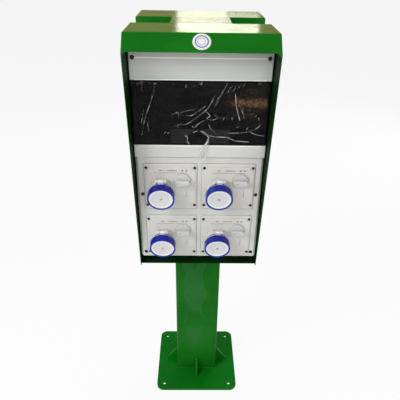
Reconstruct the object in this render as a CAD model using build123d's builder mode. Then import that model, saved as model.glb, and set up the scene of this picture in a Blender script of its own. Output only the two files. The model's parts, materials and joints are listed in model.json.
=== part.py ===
"""Double-sided socket pedestal: two canopy cabinets of switched sockets, back to back on one steel post.

Millimetres, +Z up. The front faces -Y, and the origin is the middle of the base plate's underside.
The front cabinet and its four sockets are modelled once. The rear one is the same, turned half round.
"""

import os
from math import atan2, cos, radians, sin, tan

from build123d import *

# Cuts and clearances
overrun = 6.0
slide_clearance = 0.3
seat_gap = 0.5

# Base plate
plate_size = 300.0
plate_thickness = 8.0
plate_corner_radius = 26.0
anchor_inset = 27.5
anchor_hole_diameter = 12.0
cable_hole_diameter = 60.0

# Post, its welded pads and its cap
overall_height = 1260.0
post_width = 150.0
post_depth = 100.0
post_wall = 4.0
post_corner_radius = 8.0
post_inner_radius = 4.0
pad_width = 120.0
pad_height = 70.0
pad_inset = 90.0
cable_port_diameter = 40.0
cap_width = 154.0
cap_thickness = 3.0
cap_corner_radius = 3.0

# Gussets
gusset_height = 60.0
gusset_length = 42.0
gusset_thickness = 6.0
gusset_toe = 5.0

# Folded hoods
hood_width = 350.0
hood_height = 663.0
hood_spacing = 124.0
hood_sheet = 2.0
hood_fold_radius = 3.0
roof_depth = 146.0
fascia_reach = 36.0
fascia_drop = 35.0
fascia_return = 12.0
floor_depth = 99.0
floor_lift = 10.0

# Plastic case
case_side_gap = 3.0
case_roof_gap = 45.0
case_depth = 86.0
case_wall = 3.0
case_corner_radius = 6.0
case_inner_radius = 3.0
case_floor_gap = 25.0
shelf_thickness = 3.0

# Breaker cover, from its band down to its ledge
band_height = 67.0
bay_height = 162.0
ledge_height = 34.0
cover_depth = 19.0
bay_depth = 14.0
cover_wall = 3.0
cover_edge = 1.5
band_rim = 5.0
band_relief = 1.0
slot_clearance = 0.5

# Breakers on their mounting rail
module_width = 17.5
device_module_counts = (4, 2, 2, 2, 2)
device_gap = 0.4
device_height = 85.0
device_shoulder_depth = 48.0
nose_height = 45.0
nose_proud = 1.5
toggle_width = 11.0
toggle_height = 10.0
toggle_reach = 7.0
toggle_rise = 4.0
rail_height = 35.0
rail_crown_height = 27.0
rail_depth = 7.5
rail_sheet = 1.0
rail_overhang = 8.0
rail_stand_off = 16.0
stand_off_width = 14.0
stand_off_inset = 12.0

# Smoked window and its hinge
window_gap = 1.0
window_thickness = 3.0
window_rim = 2.5
window_rim_gap = 2.5
barrel_diameter = 12.0
window_pin_diameter = 4.0
window_lug_width = 8.0
window_lug_inset = 28.0
window_lug_diameter = 10.0
handle_width = 150.0
handle_height = 38.0
handle_lift = 4.0
handle_relief = 0.8

# Window latch
latch_diameter = 17.0
latch_reach = 2.5
latch_grip_length = 14.0
latch_grip_width = 5.0
latch_grip_reach = 3.0
latch_shaft_diameter = 8.0
latch_lift = 15.0
latch_cam_width = 7.0
latch_cam_length = 10.0
latch_cam_thickness = 2.5
latch_cam_gap = 3.0

# Socket cover
socket_cover_depth = 13.0
socket_cover_inset = 4.0
socket_cover_lip = 3.0
socket_cover_wall = 3.0
socket_cover_edge = 2.0
cover_side_margin = 20.5
cover_head_margin = 18.75
cover_foot_margin = 6.75
column_gap = 13.0
row_gap = 22.0
rebate_depth = 2.0
rebate_gap = 1.0

# Socket flange, its raised field and the switch housing behind it
flange_thickness = 4.0
flange_corner_radius = 4.0
flange_bevel = 1.5
field_side_margin = 4.5
field_end_margin = 9.0
field_rise = 1.5
field_notch_radius = 8.0
housing_side_margin = 23.5
housing_end_margin = 16.0
housing_depth = 52.0
housing_corner_radius = 4.0
housing_gap = 3.0

# Tilted socket: places are read across the flange, heights along the socket's own axis
socket_offset_x = -25.0
socket_offset_z = -6.0
socket_tilt = 15.0
turret_diameter = 62.0
turret_height = 12.0
collar_diameter = 54.0
collar_height = 26.0
collar_foot_diameter = 61.0
collar_foot_height = 3.0
well_diameter = 45.0
well_floor = 4.0
insert_diameter = 35.0
insert_depth = 14.0
contact_count = 3
contact_circle_diameter = 19.0
contact_diameter = 5.0
keyway_width = 5.0
keyway_depth = 2.5

# Hinged lid and its locking ring
lid_gap = 0.6
lid_thickness = 5.0
lid_wall = 2.6
lid_running_gap = 3.0
lid_skirt_lift = 5.0
lid_bead_width = 5.5
lid_bead_rise = 1.0
ring_diameter = 73.5
ring_length = 21.0
ring_clearance = 0.4
ring_proud = 0.6
ring_edge_radius = 1.4
hinge_rise = 43.0
hinge_lift = 7.5
hinge_pin_diameter = 4.0
knuckle_diameter = 9.0
arm_width = 16.0
arm_thickness = 5.0
lug_thickness = 6.0
lug_gap = 1.0
lug_diameter = 11.0
lug_foot_height = 10.0
lug_foot_width = 6.0
lug_foot_drop = 5.0

# Rotary switch knob
knob_offset_x = 33.0
knob_offset_z = 19.0
knob_diameter = 44.0
knob_skirt_height = 6.0
knob_draft_angle = 8.0
knob_edge_radius = 1.0
grip_length = 39.0
grip_width = 15.0
grip_height = 13.0
grip_edge_radius = 2.0
knob_shaft_diameter = 10.0
knob_shaft_depth = 14.0

# Screws
flange_screw_side_inset = 6.5
flange_screw_end_inset = 12.0
flange_screw_head = 8.0
cover_screw_head = 10.0
screw_head_height = 2.6
screw_sink = 1.8
screw_shank = 4.0
cover_shank_length = 26.0
flange_shank_length = 5.0
band_screw_inset = 9.5
band_screw_drop = 15.0
side_screw_inset = 14.5
side_screw_lift = 17.0
side_screw_spacing = 192.0
pillar_diameter = 12.0
pillar_hole_depth = 16.0
boss_diameter = 9.0
boss_depth = 7.0

# Depths, counted forward from the post's middle, and heights that follow from the sizes above
hood_back = hood_spacing / 2
roof_front = hood_back + roof_depth
fascia_front = roof_front + fascia_reach
mouth_low = hood_back + floor_depth
case_back = hood_back + hood_sheet
case_front = case_back + case_depth
cover_front = case_front + cover_depth
bay_front = cover_front - bay_depth
socket_cover_front = case_front + socket_cover_depth
rebate_floor = socket_cover_front - rebate_depth
rail_back = case_back + case_wall + rail_stand_off
rail_front = rail_back + rail_depth
device_back = rail_front + slide_clearance
hinge_depth = cover_front - barrel_diameter / 2

anchor_spacing = plate_size - 2 * anchor_inset
hood_bottom = overall_height - hood_height
floor_top = hood_bottom + floor_lift
fascia_low = overall_height - fascia_drop
post_length = overall_height - cap_thickness - plate_thickness
pad_thickness = (hood_spacing - post_depth) / 2
pad_heights = (hood_bottom + pad_inset, overall_height - pad_inset)
case_width = hood_width - 2 * (hood_sheet + case_side_gap)
case_bottom = floor_top + case_floor_gap
case_top = overall_height - case_roof_gap
case_height = case_top - case_bottom
case_middle = (case_bottom + case_top) / 2
band_low = case_top - band_height
bay_low = band_low - bay_height
bay_middle = bay_low + bay_height / 2
ledge_low = bay_low - ledge_height
hinge_height = band_low - window_gap - barrel_diameter / 2
latch_height = bay_low + latch_lift
socket_cover_height = ledge_low - seat_gap - case_bottom
socket_cover_middle = case_bottom + socket_cover_height / 2
window_lug_spread = case_width / 2 - window_lug_inset

# The flanges fill the socket cover, two by two, and what they carry follows them
flange_width = (case_width - 2 * cover_side_margin - column_gap) / 2
flange_height = (socket_cover_height - cover_head_margin - cover_foot_margin - row_gap) / 2
column_pitch = flange_width + column_gap
row_pitch = flange_height + row_gap
rows_middle = case_bottom + cover_foot_margin + flange_height + row_gap / 2
field_width = flange_width - 2 * field_side_margin
field_height = flange_height - 2 * field_end_margin
housing_width = flange_width - 2 * housing_side_margin
housing_height = flange_height - 2 * housing_end_margin
flange_screw_span_x = flange_width - 2 * flange_screw_side_inset
flange_screw_span_z = flange_height - 2 * flange_screw_end_inset

band_screw_x = case_width / 2 - band_screw_inset
side_screw_x = case_width / 2 - side_screw_inset
band_screw_places = [(x, case_top - band_screw_drop) for x in (-band_screw_x, band_screw_x)]
side_screw_places = [
    (x, case_bottom + side_screw_lift + rise)
    for x in (-side_screw_x, side_screw_x)
    for rise in (0, side_screw_spacing)
]
socket_places = [
    (column, rows_middle + row)
    for row in (row_pitch / 2, -row_pitch / 2)
    for column in (-column_pitch / 2, column_pitch / 2)
]

flange_screw_places = [
    (x + turn_x * flange_screw_span_x / 2, z + turn_z * flange_screw_span_z / 2)
    for x, z in socket_places
    for turn_x in (-1, 1)
    for turn_z in (-1, 1)
]

# Stations along the socket's axis
mouth_station = turret_height + collar_height
insert_station = mouth_station - insert_depth
lid_inner_station = mouth_station + lid_gap
lid_face_station = lid_inner_station + lid_thickness
skirt_station = turret_height + lid_skirt_lift
ring_front_station = lid_face_station + lid_bead_rise + ring_proud
ring_rear_station = ring_front_station - ring_length
hinge_station = turret_height + hinge_lift
lid_inner_radius = collar_diameter / 2 + lid_running_gap
lid_outer_radius = lid_inner_radius + lid_wall

# The flange's own frame: the middle of its back face, with the same axes as the whole part
tilt = radians(socket_tilt)
socket_origin = Vector(socket_offset_x, -flange_thickness, socket_offset_z)
socket_axis = Vector(0, -cos(tilt), -sin(tilt))
socket_rise = Vector(0, -sin(tilt), cos(tilt))
socket_plane = Plane(socket_origin, x_dir=Vector(1, 0, 0), z_dir=socket_axis)
section_plane = Plane(socket_origin, x_dir=socket_rise, z_dir=Vector(1, 0, 0))
field_front = flange_thickness + field_rise


def front(depth):
    """Give the plane that faces the front, that far before the XZ plane."""
    return Plane.XZ.offset(depth)


def side_points(points):
    """Turn (depth, height) pairs into points on the YZ plane."""
    return [(-depth, height) for depth, height in points]


# Base plate with its anchor holes and the hole that the supply cable comes up through
with BuildPart() as base_plate:
    with BuildSketch(Plane.XY):
        RectangleRounded(plate_size, plate_size, plate_corner_radius)
        with GridLocations(anchor_spacing, anchor_spacing, 2, 2):
            Circle(anchor_hole_diameter / 2, mode=Mode.SUBTRACT)
        Circle(cable_hole_diameter / 2, mode=Mode.SUBTRACT)
    extrude(amount=plate_thickness)

# Rectangular post with welded pads that carry the hoods, and a cable port through the lower pads
with BuildPart() as post:
    with BuildSketch(Plane.XY.offset(plate_thickness)):
        RectangleRounded(post_width, post_depth, post_corner_radius)
        RectangleRounded(
            post_width - 2 * post_wall, post_depth - 2 * post_wall, post_inner_radius, mode=Mode.SUBTRACT
        )
    extrude(amount=post_length)
    pad_offset = (post_depth + pad_thickness) / 2
    for pad_middle in pad_heights:
        with BuildSketch(Plane.XY.offset(pad_middle - pad_height / 2)):
            with Locations((0, -pad_offset), (0, pad_offset)):
                Rectangle(pad_width, pad_thickness)
        extrude(amount=pad_height)
    with BuildSketch(front(hood_back + overrun)):
        with Locations((0, pad_heights[0])):
            Circle(cable_port_diameter / 2)
    extrude(amount=-hood_spacing - 2 * overrun, mode=Mode.SUBTRACT)

# Cap that closes the post and bridges the space between the two roofs
with BuildPart() as post_cap:
    with BuildSketch(Plane.XY.offset(overall_height - cap_thickness)):
        RectangleRounded(cap_width, hood_spacing - 2 * seat_gap, cap_corner_radius)
    extrude(amount=cap_thickness)

# Four triangular gussets round the foot of the post
with BuildPart() as gussets:
    for plane, reach in ((Plane.XZ, post_width / 2), (Plane.YZ, post_depth / 2)):
        with BuildSketch(plane):
            with BuildLine():
                Polyline(
                    (reach, plate_thickness),
                    (reach + gusset_length, plate_thickness),
                    (reach + gusset_length, plate_thickness + gusset_toe),
                    (reach + gusset_toe, plate_thickness + gusset_height),
                    (reach, plate_thickness + gusset_height),
                    close=True,
                )
            make_face()
            mirror(about=Plane.YZ)
        extrude(amount=gusset_thickness / 2, both=True)

# Hood: one folded and welded sheet box, open at the front under its sloping fascia
with BuildPart() as hood:
    with BuildSketch(Plane.YZ):
        with BuildLine():
            Polyline(
                *side_points(
                    [
                        (hood_back, hood_bottom),
                        (hood_back, overall_height),
                        (roof_front, overall_height),
                        (fascia_front, fascia_low),
                        (mouth_low, hood_bottom),
                    ]
                ),
                close=True,
            )
        make_face()
    extrude(amount=hood_width / 2, both=True)
    roof_edges = hood.faces().sort_by(Axis.Z)[-1].edges().sort_by(Axis.Y)[:-1]
    fascia_edges = hood.faces().sort_by(Axis.Y)[0].edges().filter_by(Axis.X, reverse=True)
    fillet(roof_edges + fascia_edges, hood_fold_radius)
    roof_inner_front = roof_front - hood_sheet * tan(atan2(fascia_drop, fascia_reach) / 2)
    fascia_inner_drop = fascia_drop - 2 * hood_sheet
    with BuildSketch(Plane.YZ):
        with BuildLine():
            Polyline(
                *side_points(
                    [
                        (case_back, floor_top),
                        (case_back, overall_height - hood_sheet),
                        (roof_inner_front, overall_height - hood_sheet),
                        (
                            roof_inner_front + fascia_inner_drop * fascia_reach / fascia_drop,
                            fascia_low + hood_sheet,
                        ),
                        (fascia_front - fascia_return, fascia_low + hood_sheet),
                        (fascia_front - fascia_return, fascia_low),
                        (fascia_front + overrun, fascia_low),
                        (fascia_front + overrun, floor_top),
                    ]
                ),
                close=True,
            )
        make_face()
        with BuildLine():
            Polyline(
                *side_points(
                    [
                        (case_back, floor_top - hood_sheet),
                        (fascia_front, floor_top - hood_sheet),
                        (fascia_front, hood_bottom - overrun),
                        (case_back, hood_bottom - overrun),
                    ]
                ),
                close=True,
            )
        make_face()
    extrude(amount=hood_width / 2 - hood_sheet, both=True, mode=Mode.SUBTRACT)
    with BuildSketch(front(hood_back)):
        with Locations((0, pad_heights[0])):
            Circle(cable_port_diameter / 2)
    extrude(amount=hood_sheet, mode=Mode.SUBTRACT)

# Plastic case with screw pillars, rail stand-offs, a shelf and the cable port
with BuildPart() as case:
    with BuildSketch(front(case_back)):
        with Locations((0, case_middle)):
            RectangleRounded(case_width, case_height, case_corner_radius)
    extrude(amount=case_depth)
    with BuildSketch(front(case_back + case_wall)):
        with Locations((0, case_middle)):
            RectangleRounded(case_width - 2 * case_wall, case_height - 2 * case_wall, case_inner_radius)
    extrude(amount=case_depth, mode=Mode.SUBTRACT)
    with BuildSketch(front(case_back + case_wall)):
        with Locations((0, ledge_low + ledge_height / 2)):
            Rectangle(case_width - 2 * case_wall, shelf_thickness)
        with Locations(*band_screw_places, *side_screw_places):
            Circle(pillar_diameter / 2)
    extrude(amount=case_depth - case_wall)
    with BuildSketch(front(case_front)):
        with Locations(*band_screw_places, *side_screw_places):
            Circle(screw_shank / 2 + slide_clearance)
    extrude(amount=-pillar_hole_depth, mode=Mode.SUBTRACT)
    row_width = sum(device_module_counts) * module_width
    stand_off_x = row_width / 2 - stand_off_inset
    with BuildSketch(front(case_back + case_wall)):
        with Locations((-stand_off_x, bay_middle), (stand_off_x, bay_middle)):
            Rectangle(stand_off_width, rail_crown_height)
    extrude(amount=rail_stand_off)
    with BuildSketch(front(case_back)):
        with Locations((0, pad_heights[0])):
            Circle(cable_port_diameter / 2)
    extrude(amount=case_wall, mode=Mode.SUBTRACT)

# Breaker cover: a band above, a recessed bay with the breakers' slot, and a ledge below
with BuildPart() as breaker_cover:
    with BuildSketch(Plane.YZ):
        with BuildLine():
            Polyline(
                *side_points(
                    [
                        (case_front, ledge_low),
                        (cover_front, ledge_low),
                        (cover_front, bay_low),
                        (bay_front, bay_low),
                        (bay_front, band_low),
                        (cover_front, band_low),
                        (cover_front, case_top),
                        (case_front, case_top),
                    ]
                ),
                close=True,
            )
        make_face()
    extrude(amount=case_width / 2, both=True)
    fillet(breaker_cover.faces().sort_by(Axis.Z)[-1].edges().filter_by(Axis.Y), case_corner_radius)
    chamfer(breaker_cover.faces().filter_by(Axis.Y).group_by(Axis.Y)[0].edges(), cover_edge)
    with BuildSketch(Plane.YZ):
        with BuildLine():
            Polyline(
                *side_points(
                    [
                        (case_front, ledge_low + cover_wall),
                        (cover_front - cover_wall, ledge_low + cover_wall),
                        (cover_front - cover_wall, bay_low - cover_wall),
                        (bay_front - cover_wall, bay_low - cover_wall),
                        (bay_front - cover_wall, band_low + cover_wall),
                        (cover_front - cover_wall, band_low + cover_wall),
                        (cover_front - cover_wall, case_top - cover_wall),
                        (case_front, case_top - cover_wall),
                    ]
                ),
                close=True,
            )
        make_face()
    extrude(amount=case_width / 2 - cover_wall, both=True, mode=Mode.SUBTRACT)
    relief_height = band_height - band_rim - band_screw_drop
    with BuildSketch(front(cover_front)):
        with Locations((0, band_low + band_rim + relief_height / 2)):
            Rectangle(case_width - 2 * band_rim, relief_height)
        with Locations(*band_screw_places):
            Circle(cover_screw_head / 2 + band_rim, mode=Mode.SUBTRACT)
    extrude(amount=-band_relief, mode=Mode.SUBTRACT)
    with BuildSketch(front(bay_front)):
        with Locations((0, bay_middle)):
            Rectangle(row_width + 2 * slot_clearance, nose_height + 2 * slot_clearance)
    extrude(amount=-cover_wall, mode=Mode.SUBTRACT)
    with BuildSketch(front(case_front)):
        with Locations(*band_screw_places):
            Circle(pillar_diameter / 2)
    extrude(amount=cover_depth - cover_wall)
    with BuildSketch(front(case_front)):
        with Locations(*band_screw_places):
            Circle(screw_shank / 2 + slide_clearance)
    extrude(amount=cover_depth, mode=Mode.SUBTRACT)
    with BuildSketch(front(cover_front)):
        with Locations(*band_screw_places):
            Circle(cover_screw_head / 2 + slide_clearance)
    extrude(amount=-screw_sink, mode=Mode.SUBTRACT)
    for lug_x in (-window_lug_spread, 0, window_lug_spread):
        with BuildSketch(Plane.YZ.offset(lug_x - window_lug_width / 2)):
            with Locations((-hinge_depth, hinge_height)):
                Circle(window_lug_diameter / 2)
            with Locations((cover_wall / 2 - bay_front, hinge_height)):
                Rectangle(cover_wall, window_lug_diameter)
            make_hull()
        extrude(amount=window_lug_width)
    with BuildSketch(Plane.YZ.offset(-case_width / 2)):
        with Locations((-hinge_depth, hinge_height)):
            Circle(window_pin_diameter / 2 + slide_clearance)
    extrude(amount=case_width, mode=Mode.SUBTRACT)

# Breakers: a top-hat rail, and stepped devices side by side with their toggles
with BuildPart() as breaker_row:
    flange_low = rail_crown_height / 2 - rail_sheet
    with BuildSketch(Plane.YZ.offset(-row_width / 2 - rail_overhang)):
        with Locations((-rail_back - rail_sheet / 2, bay_middle)):
            Rectangle(rail_sheet, rail_crown_height)
        for turn in (1, -1):
            with Locations((-rail_back - rail_depth / 2, bay_middle + turn * (flange_low + rail_sheet / 2))):
                Rectangle(rail_depth, rail_sheet)
            brim_middle = (flange_low + rail_height / 2) / 2
            with Locations((-rail_front + rail_sheet / 2, bay_middle + turn * brim_middle)):
                Rectangle(rail_sheet, rail_height / 2 - flange_low)
    extrude(amount=row_width + 2 * rail_overhang)
    device_left = -row_width / 2
    for modules in device_module_counts:
        device_width = modules * module_width
        with BuildSketch(Plane.YZ.offset(device_left + device_gap / 2)):
            with BuildLine():
                Polyline(
                    *side_points(
                        [
                            (device_back, bay_middle - device_height / 2),
                            (rail_front + device_shoulder_depth, bay_middle - device_height / 2),
                            (rail_front + device_shoulder_depth, bay_middle - nose_height / 2),
                            (bay_front + nose_proud, bay_middle - nose_height / 2),
                            (bay_front + nose_proud, bay_middle + nose_height / 2),
                            (rail_front + device_shoulder_depth, bay_middle + nose_height / 2),
                            (rail_front + device_shoulder_depth, bay_middle + device_height / 2),
                            (device_back, bay_middle + device_height / 2),
                        ]
                    ),
                    close=True,
                )
            make_face()
        extrude(amount=device_width - device_gap)
        with BuildSketch(front(bay_front + nose_proud)):
            with Locations((device_left + device_width / 2, bay_middle + toggle_rise)):
                Rectangle(toggle_width, toggle_height)
        extrude(amount=toggle_reach, taper=knob_draft_angle)
        device_left += device_width

# Smoked window: a shallow tray whose top edge is a hinge barrel with its pin
window_width = case_width - 2 * window_gap
window_low = bay_low + window_gap
with BuildPart() as window:
    pane_height = hinge_height - window_low
    with BuildSketch(front(bay_front + window_rim_gap)):
        with Locations((0, window_low + pane_height / 2)):
            Rectangle(window_width, pane_height)
    extrude(amount=bay_depth - window_rim_gap)
    with BuildSketch(front(bay_front)):
        with Locations((0, window_low + window_rim + pane_height / 2)):
            Rectangle(window_width - 2 * window_rim, pane_height)
    extrude(amount=bay_depth - window_thickness, mode=Mode.SUBTRACT)
    with BuildSketch(Plane.YZ.offset(-window_width / 2)):
        with Locations((-hinge_depth, hinge_height)):
            Circle(barrel_diameter / 2)
    extrude(amount=window_width)
    for lug_x in (-window_lug_spread, 0, window_lug_spread):
        with BuildSketch(Plane.YZ.offset(lug_x - window_lug_width / 2 - seat_gap)):
            with Locations((-hinge_depth, hinge_height)):
                Circle(barrel_diameter / 2 + seat_gap)
        extrude(amount=window_lug_width + 2 * seat_gap, mode=Mode.SUBTRACT)
    with BuildSketch(Plane.YZ.offset(-window_width / 2)):
        with Locations((-hinge_depth, hinge_height)):
            Circle(window_pin_diameter / 2)
    extrude(amount=window_width)
    with BuildSketch(front(cover_front)):
        with Locations((0, window_low + handle_lift + handle_height / 2)):
            Rectangle(handle_width, handle_height)
    extrude(amount=-handle_relief, mode=Mode.SUBTRACT)
    with BuildSketch(front(cover_front)):
        with Locations((0, latch_height)):
            Circle(latch_shaft_diameter / 2 + slide_clearance)
    extrude(amount=-window_thickness, mode=Mode.SUBTRACT)

# Quarter-turn latch with its grip, shaft and cam
with BuildPart() as window_latch:
    latch_seat = cover_front - handle_relief + slide_clearance
    cam_front = cover_front - window_thickness - latch_cam_gap + latch_cam_thickness
    with BuildSketch(front(latch_seat)):
        with Locations((0, latch_height)):
            Circle(latch_diameter / 2)
    extrude(amount=latch_reach)
    with BuildSketch(front(latch_seat + latch_reach)):
        with Locations((0, latch_height)):
            SlotOverall(latch_grip_length, latch_grip_width, rotation=90)
    extrude(amount=latch_grip_reach)
    with BuildSketch(front(cam_front - latch_cam_thickness)):
        with Locations((0, latch_height)):
            Circle(latch_shaft_diameter / 2)
    extrude(amount=latch_seat - cam_front + latch_cam_thickness)
    with BuildSketch(front(cam_front)):
        with Locations((0, latch_height - latch_cam_length / 2)):
            Rectangle(latch_cam_width, latch_cam_length)
    extrude(amount=-latch_cam_thickness)

# Socket cover: a lipped tray with four rebates for the socket flanges
with BuildPart() as socket_cover:
    with BuildSketch(front(case_front)):
        with Locations((0, socket_cover_middle)):
            RectangleRounded(
                case_width - 2 * socket_cover_inset,
                socket_cover_height - 2 * seat_gap,
                case_inner_radius,
            )
    extrude(amount=socket_cover_depth)
    chamfer(socket_cover.faces().sort_by(Axis.Y)[0].edges(), socket_cover_edge)
    with BuildSketch(front(case_front)):
        with Locations((0, socket_cover_middle)):
            Rectangle(case_width, socket_cover_height)
    extrude(amount=socket_cover_lip)
    with BuildSketch(front(case_front)):
        with Locations((0, socket_cover_middle)):
            Rectangle(
                case_width - 2 * socket_cover_inset - 2 * socket_cover_wall,
                socket_cover_height - 2 * socket_cover_wall,
            )
    extrude(amount=socket_cover_depth - socket_cover_wall, mode=Mode.SUBTRACT)
    with BuildSketch(front(case_front)):
        with Locations(*side_screw_places):
            Circle(pillar_diameter / 2)
    extrude(amount=socket_cover_depth - socket_cover_wall)
    with BuildSketch(front(socket_cover_front)):
        with Locations(*socket_places):
            RectangleRounded(
                flange_width + 2 * rebate_gap, flange_height + 2 * rebate_gap, flange_corner_radius
            )
    extrude(amount=-rebate_depth, mode=Mode.SUBTRACT)
    with BuildSketch(front(socket_cover_front)):
        with Locations(*socket_places):
            RectangleRounded(
                housing_width + 2 * housing_gap, housing_height + 2 * housing_gap, housing_corner_radius
            )
    extrude(amount=-socket_cover_depth, mode=Mode.SUBTRACT)
    with BuildSketch(front(rebate_floor)):
        with Locations(*flange_screw_places):
            Circle(boss_diameter / 2)
    extrude(amount=-boss_depth)
    with BuildSketch(front(socket_cover_front)):
        with Locations(*side_screw_places, *flange_screw_places):
            Circle(screw_shank / 2 + slide_clearance)
    extrude(amount=-socket_cover_depth, mode=Mode.SUBTRACT)
    with BuildSketch(front(socket_cover_front)):
        with Locations(*side_screw_places):
            Circle(cover_screw_head / 2 + slide_clearance)
    extrude(amount=-screw_sink, mode=Mode.SUBTRACT)

# Flange: a bevelled plate with a raised field, the tilted turret and hinge lugs, and the switch housing
with BuildPart() as flange:
    turret_root = turret_diameter * tan(tilt)
    lug_foot_top = turret_height - lug_foot_drop
    with BuildSketch(socket_plane.offset(-turret_root)):
        Circle(turret_diameter / 2)
    extrude(amount=turret_root + turret_height)
    for lug_start in (-arm_width / 2 - lug_gap - lug_thickness, arm_width / 2 + lug_gap):
        with BuildSketch(section_plane.offset(lug_start)):
            with Locations((hinge_rise, hinge_station)):
                Circle(lug_diameter / 2)
            with Locations((turret_diameter / 2 - lug_foot_width / 2, lug_foot_top - lug_foot_height / 2)):
                Rectangle(lug_foot_width, lug_foot_height)
            make_hull()
        extrude(amount=lug_thickness)
    split(bisect_by=Plane.XZ, keep=Keep.TOP)
    with BuildSketch(section_plane.offset(-arm_width)):
        with Locations((hinge_rise, hinge_station)):
            Circle(hinge_pin_diameter / 2 + slide_clearance)
    extrude(amount=2 * arm_width, mode=Mode.SUBTRACT)
    with BuildSketch(Plane.XZ):
        RectangleRounded(flange_width, flange_height, flange_corner_radius)
    extrude(amount=flange_thickness - flange_bevel)
    with BuildSketch(front(flange_thickness - flange_bevel)):
        RectangleRounded(flange_width, flange_height, flange_corner_radius)
    with BuildSketch(front(flange_thickness)):
        RectangleRounded(
            flange_width - 2 * flange_bevel,
            flange_height - 2 * flange_bevel,
            flange_corner_radius - flange_bevel,
        )
    loft()
    with BuildSketch(front(flange_thickness)):
        Rectangle(field_width, field_height)
        with GridLocations(flange_screw_span_x, flange_screw_span_z, 2, 2):
            Circle(field_notch_radius, mode=Mode.SUBTRACT)
    extrude(amount=field_rise)
    with BuildSketch(Plane.XZ):
        RectangleRounded(housing_width, housing_height, housing_corner_radius)
    extrude(amount=-housing_depth)
    with BuildSketch(front(field_front)):
        with Locations((knob_offset_x, knob_offset_z)):
            Circle(knob_shaft_diameter / 2 + slide_clearance)
    extrude(amount=-field_front - knob_shaft_depth - seat_gap, mode=Mode.SUBTRACT)
    with BuildSketch(front(flange_thickness)):
        with GridLocations(flange_screw_span_x, flange_screw_span_z, 2, 2):
            Circle(flange_screw_head / 2 + slide_clearance)
    extrude(amount=-screw_sink, mode=Mode.SUBTRACT)
    with BuildSketch(front(flange_thickness)):
        with GridLocations(flange_screw_span_x, flange_screw_span_z, 2, 2):
            Circle(screw_shank / 2 + slide_clearance)
    extrude(amount=-flange_thickness, mode=Mode.SUBTRACT)

# Socket body: a footed collar round the well, with a keyway at the mouth
with BuildPart() as socket_body:
    with BuildSketch(section_plane):
        with BuildLine():
            Polyline(
                (0, turret_height),
                (0, turret_height + well_floor),
                (well_diameter / 2, turret_height + well_floor),
                (well_diameter / 2, mouth_station),
                (collar_diameter / 2, mouth_station),
                (collar_diameter / 2, turret_height + collar_foot_height),
                (collar_foot_diameter / 2, turret_height + collar_foot_height),
                (collar_foot_diameter / 2, turret_height),
                close=True,
            )
        make_face()
    revolve(axis=Axis(socket_origin, socket_axis))
    with BuildSketch(socket_plane.offset(mouth_station)):
        with Locations((0, -well_diameter / 2)):
            Rectangle(keyway_width, 2 * keyway_depth)
    extrude(amount=-insert_depth, mode=Mode.SUBTRACT)

# Contact insert that stands in the well, with its contact holes
with BuildPart() as contact_insert:
    with BuildSketch(socket_plane.offset(insert_station)):
        Circle(insert_diameter / 2)
        with PolarLocations(contact_circle_diameter / 2, contact_count, start_angle=-90):
            Circle(contact_diameter / 2, mode=Mode.SUBTRACT)
    extrude(amount=turret_height + well_floor - insert_station)

# Lid: a beaded cap with a deep skirt, and the hinge arm that passes behind the locking ring
with BuildPart() as lid:
    with BuildSketch(section_plane):
        with BuildLine():
            Polyline(
                (0, lid_inner_station),
                (0, lid_face_station),
                (lid_outer_radius - lid_bead_width, lid_face_station),
                (lid_outer_radius - lid_bead_width + lid_bead_rise, lid_face_station + lid_bead_rise),
                (lid_outer_radius - lid_bead_rise, lid_face_station + lid_bead_rise),
                (lid_outer_radius, lid_face_station),
                (lid_outer_radius, skirt_station),
                (lid_inner_radius, skirt_station),
                (lid_inner_radius, lid_inner_station),
                close=True,
            )
        make_face()
    revolve(axis=Axis(socket_origin, socket_axis))
    with BuildSketch(section_plane.offset(-arm_width / 2)):
        with Locations((hinge_rise, hinge_station)):
            Circle(knuckle_diameter / 2)
        with Locations((lid_outer_radius - lid_wall / 2, skirt_station + arm_thickness / 2)):
            Rectangle(lid_wall, arm_thickness)
        make_hull()
    extrude(amount=arm_width)
    with BuildSketch(section_plane.offset(-arm_width / 2 - lug_gap - lug_thickness)):
        with Locations((hinge_rise, hinge_station)):
            Circle(hinge_pin_diameter / 2)
    extrude(amount=arm_width + 2 * lug_gap + 2 * lug_thickness)
    with BuildSketch(socket_plane.offset(skirt_station)):
        Circle(lid_inner_radius)
    extrude(amount=lid_inner_station - skirt_station, mode=Mode.SUBTRACT)

# Locking ring that turns on the lid's skirt
with BuildPart() as lock_ring:
    with BuildSketch(section_plane) as ring_section:
        ring_inner_radius = lid_outer_radius + ring_clearance
        ring_wall = ring_diameter / 2 - ring_inner_radius
        with Locations((ring_inner_radius + ring_wall / 2, ring_rear_station + ring_length / 2)):
            Rectangle(ring_wall, ring_length)
        fillet(ring_section.vertices(), ring_edge_radius)
    revolve(axis=Axis(socket_origin, socket_axis))

# Rotary switch knob with its grip and shaft
with BuildPart() as knob:
    knob_back = field_front + seat_gap
    with BuildSketch(front(knob_back)):
        with Locations((knob_offset_x, knob_offset_z)):
            Circle(knob_diameter / 2)
    extrude(amount=knob_skirt_height, taper=knob_draft_angle)
    fillet(knob.faces().sort_by(Axis.Y)[0].edges(), knob_edge_radius)
    with BuildSketch(front(knob_back + knob_skirt_height)):
        with Locations((knob_offset_x, knob_offset_z)):
            SlotOverall(grip_length, grip_width)
    extrude(amount=grip_height)
    fillet(knob.faces().sort_by(Axis.Y)[0].edges(), grip_edge_radius)
    with BuildSketch(front(knob_back)):
        with Locations((knob_offset_x, knob_offset_z)):
            Circle(knob_shaft_diameter / 2)
    extrude(amount=-knob_back - knob_shaft_depth)

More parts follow.
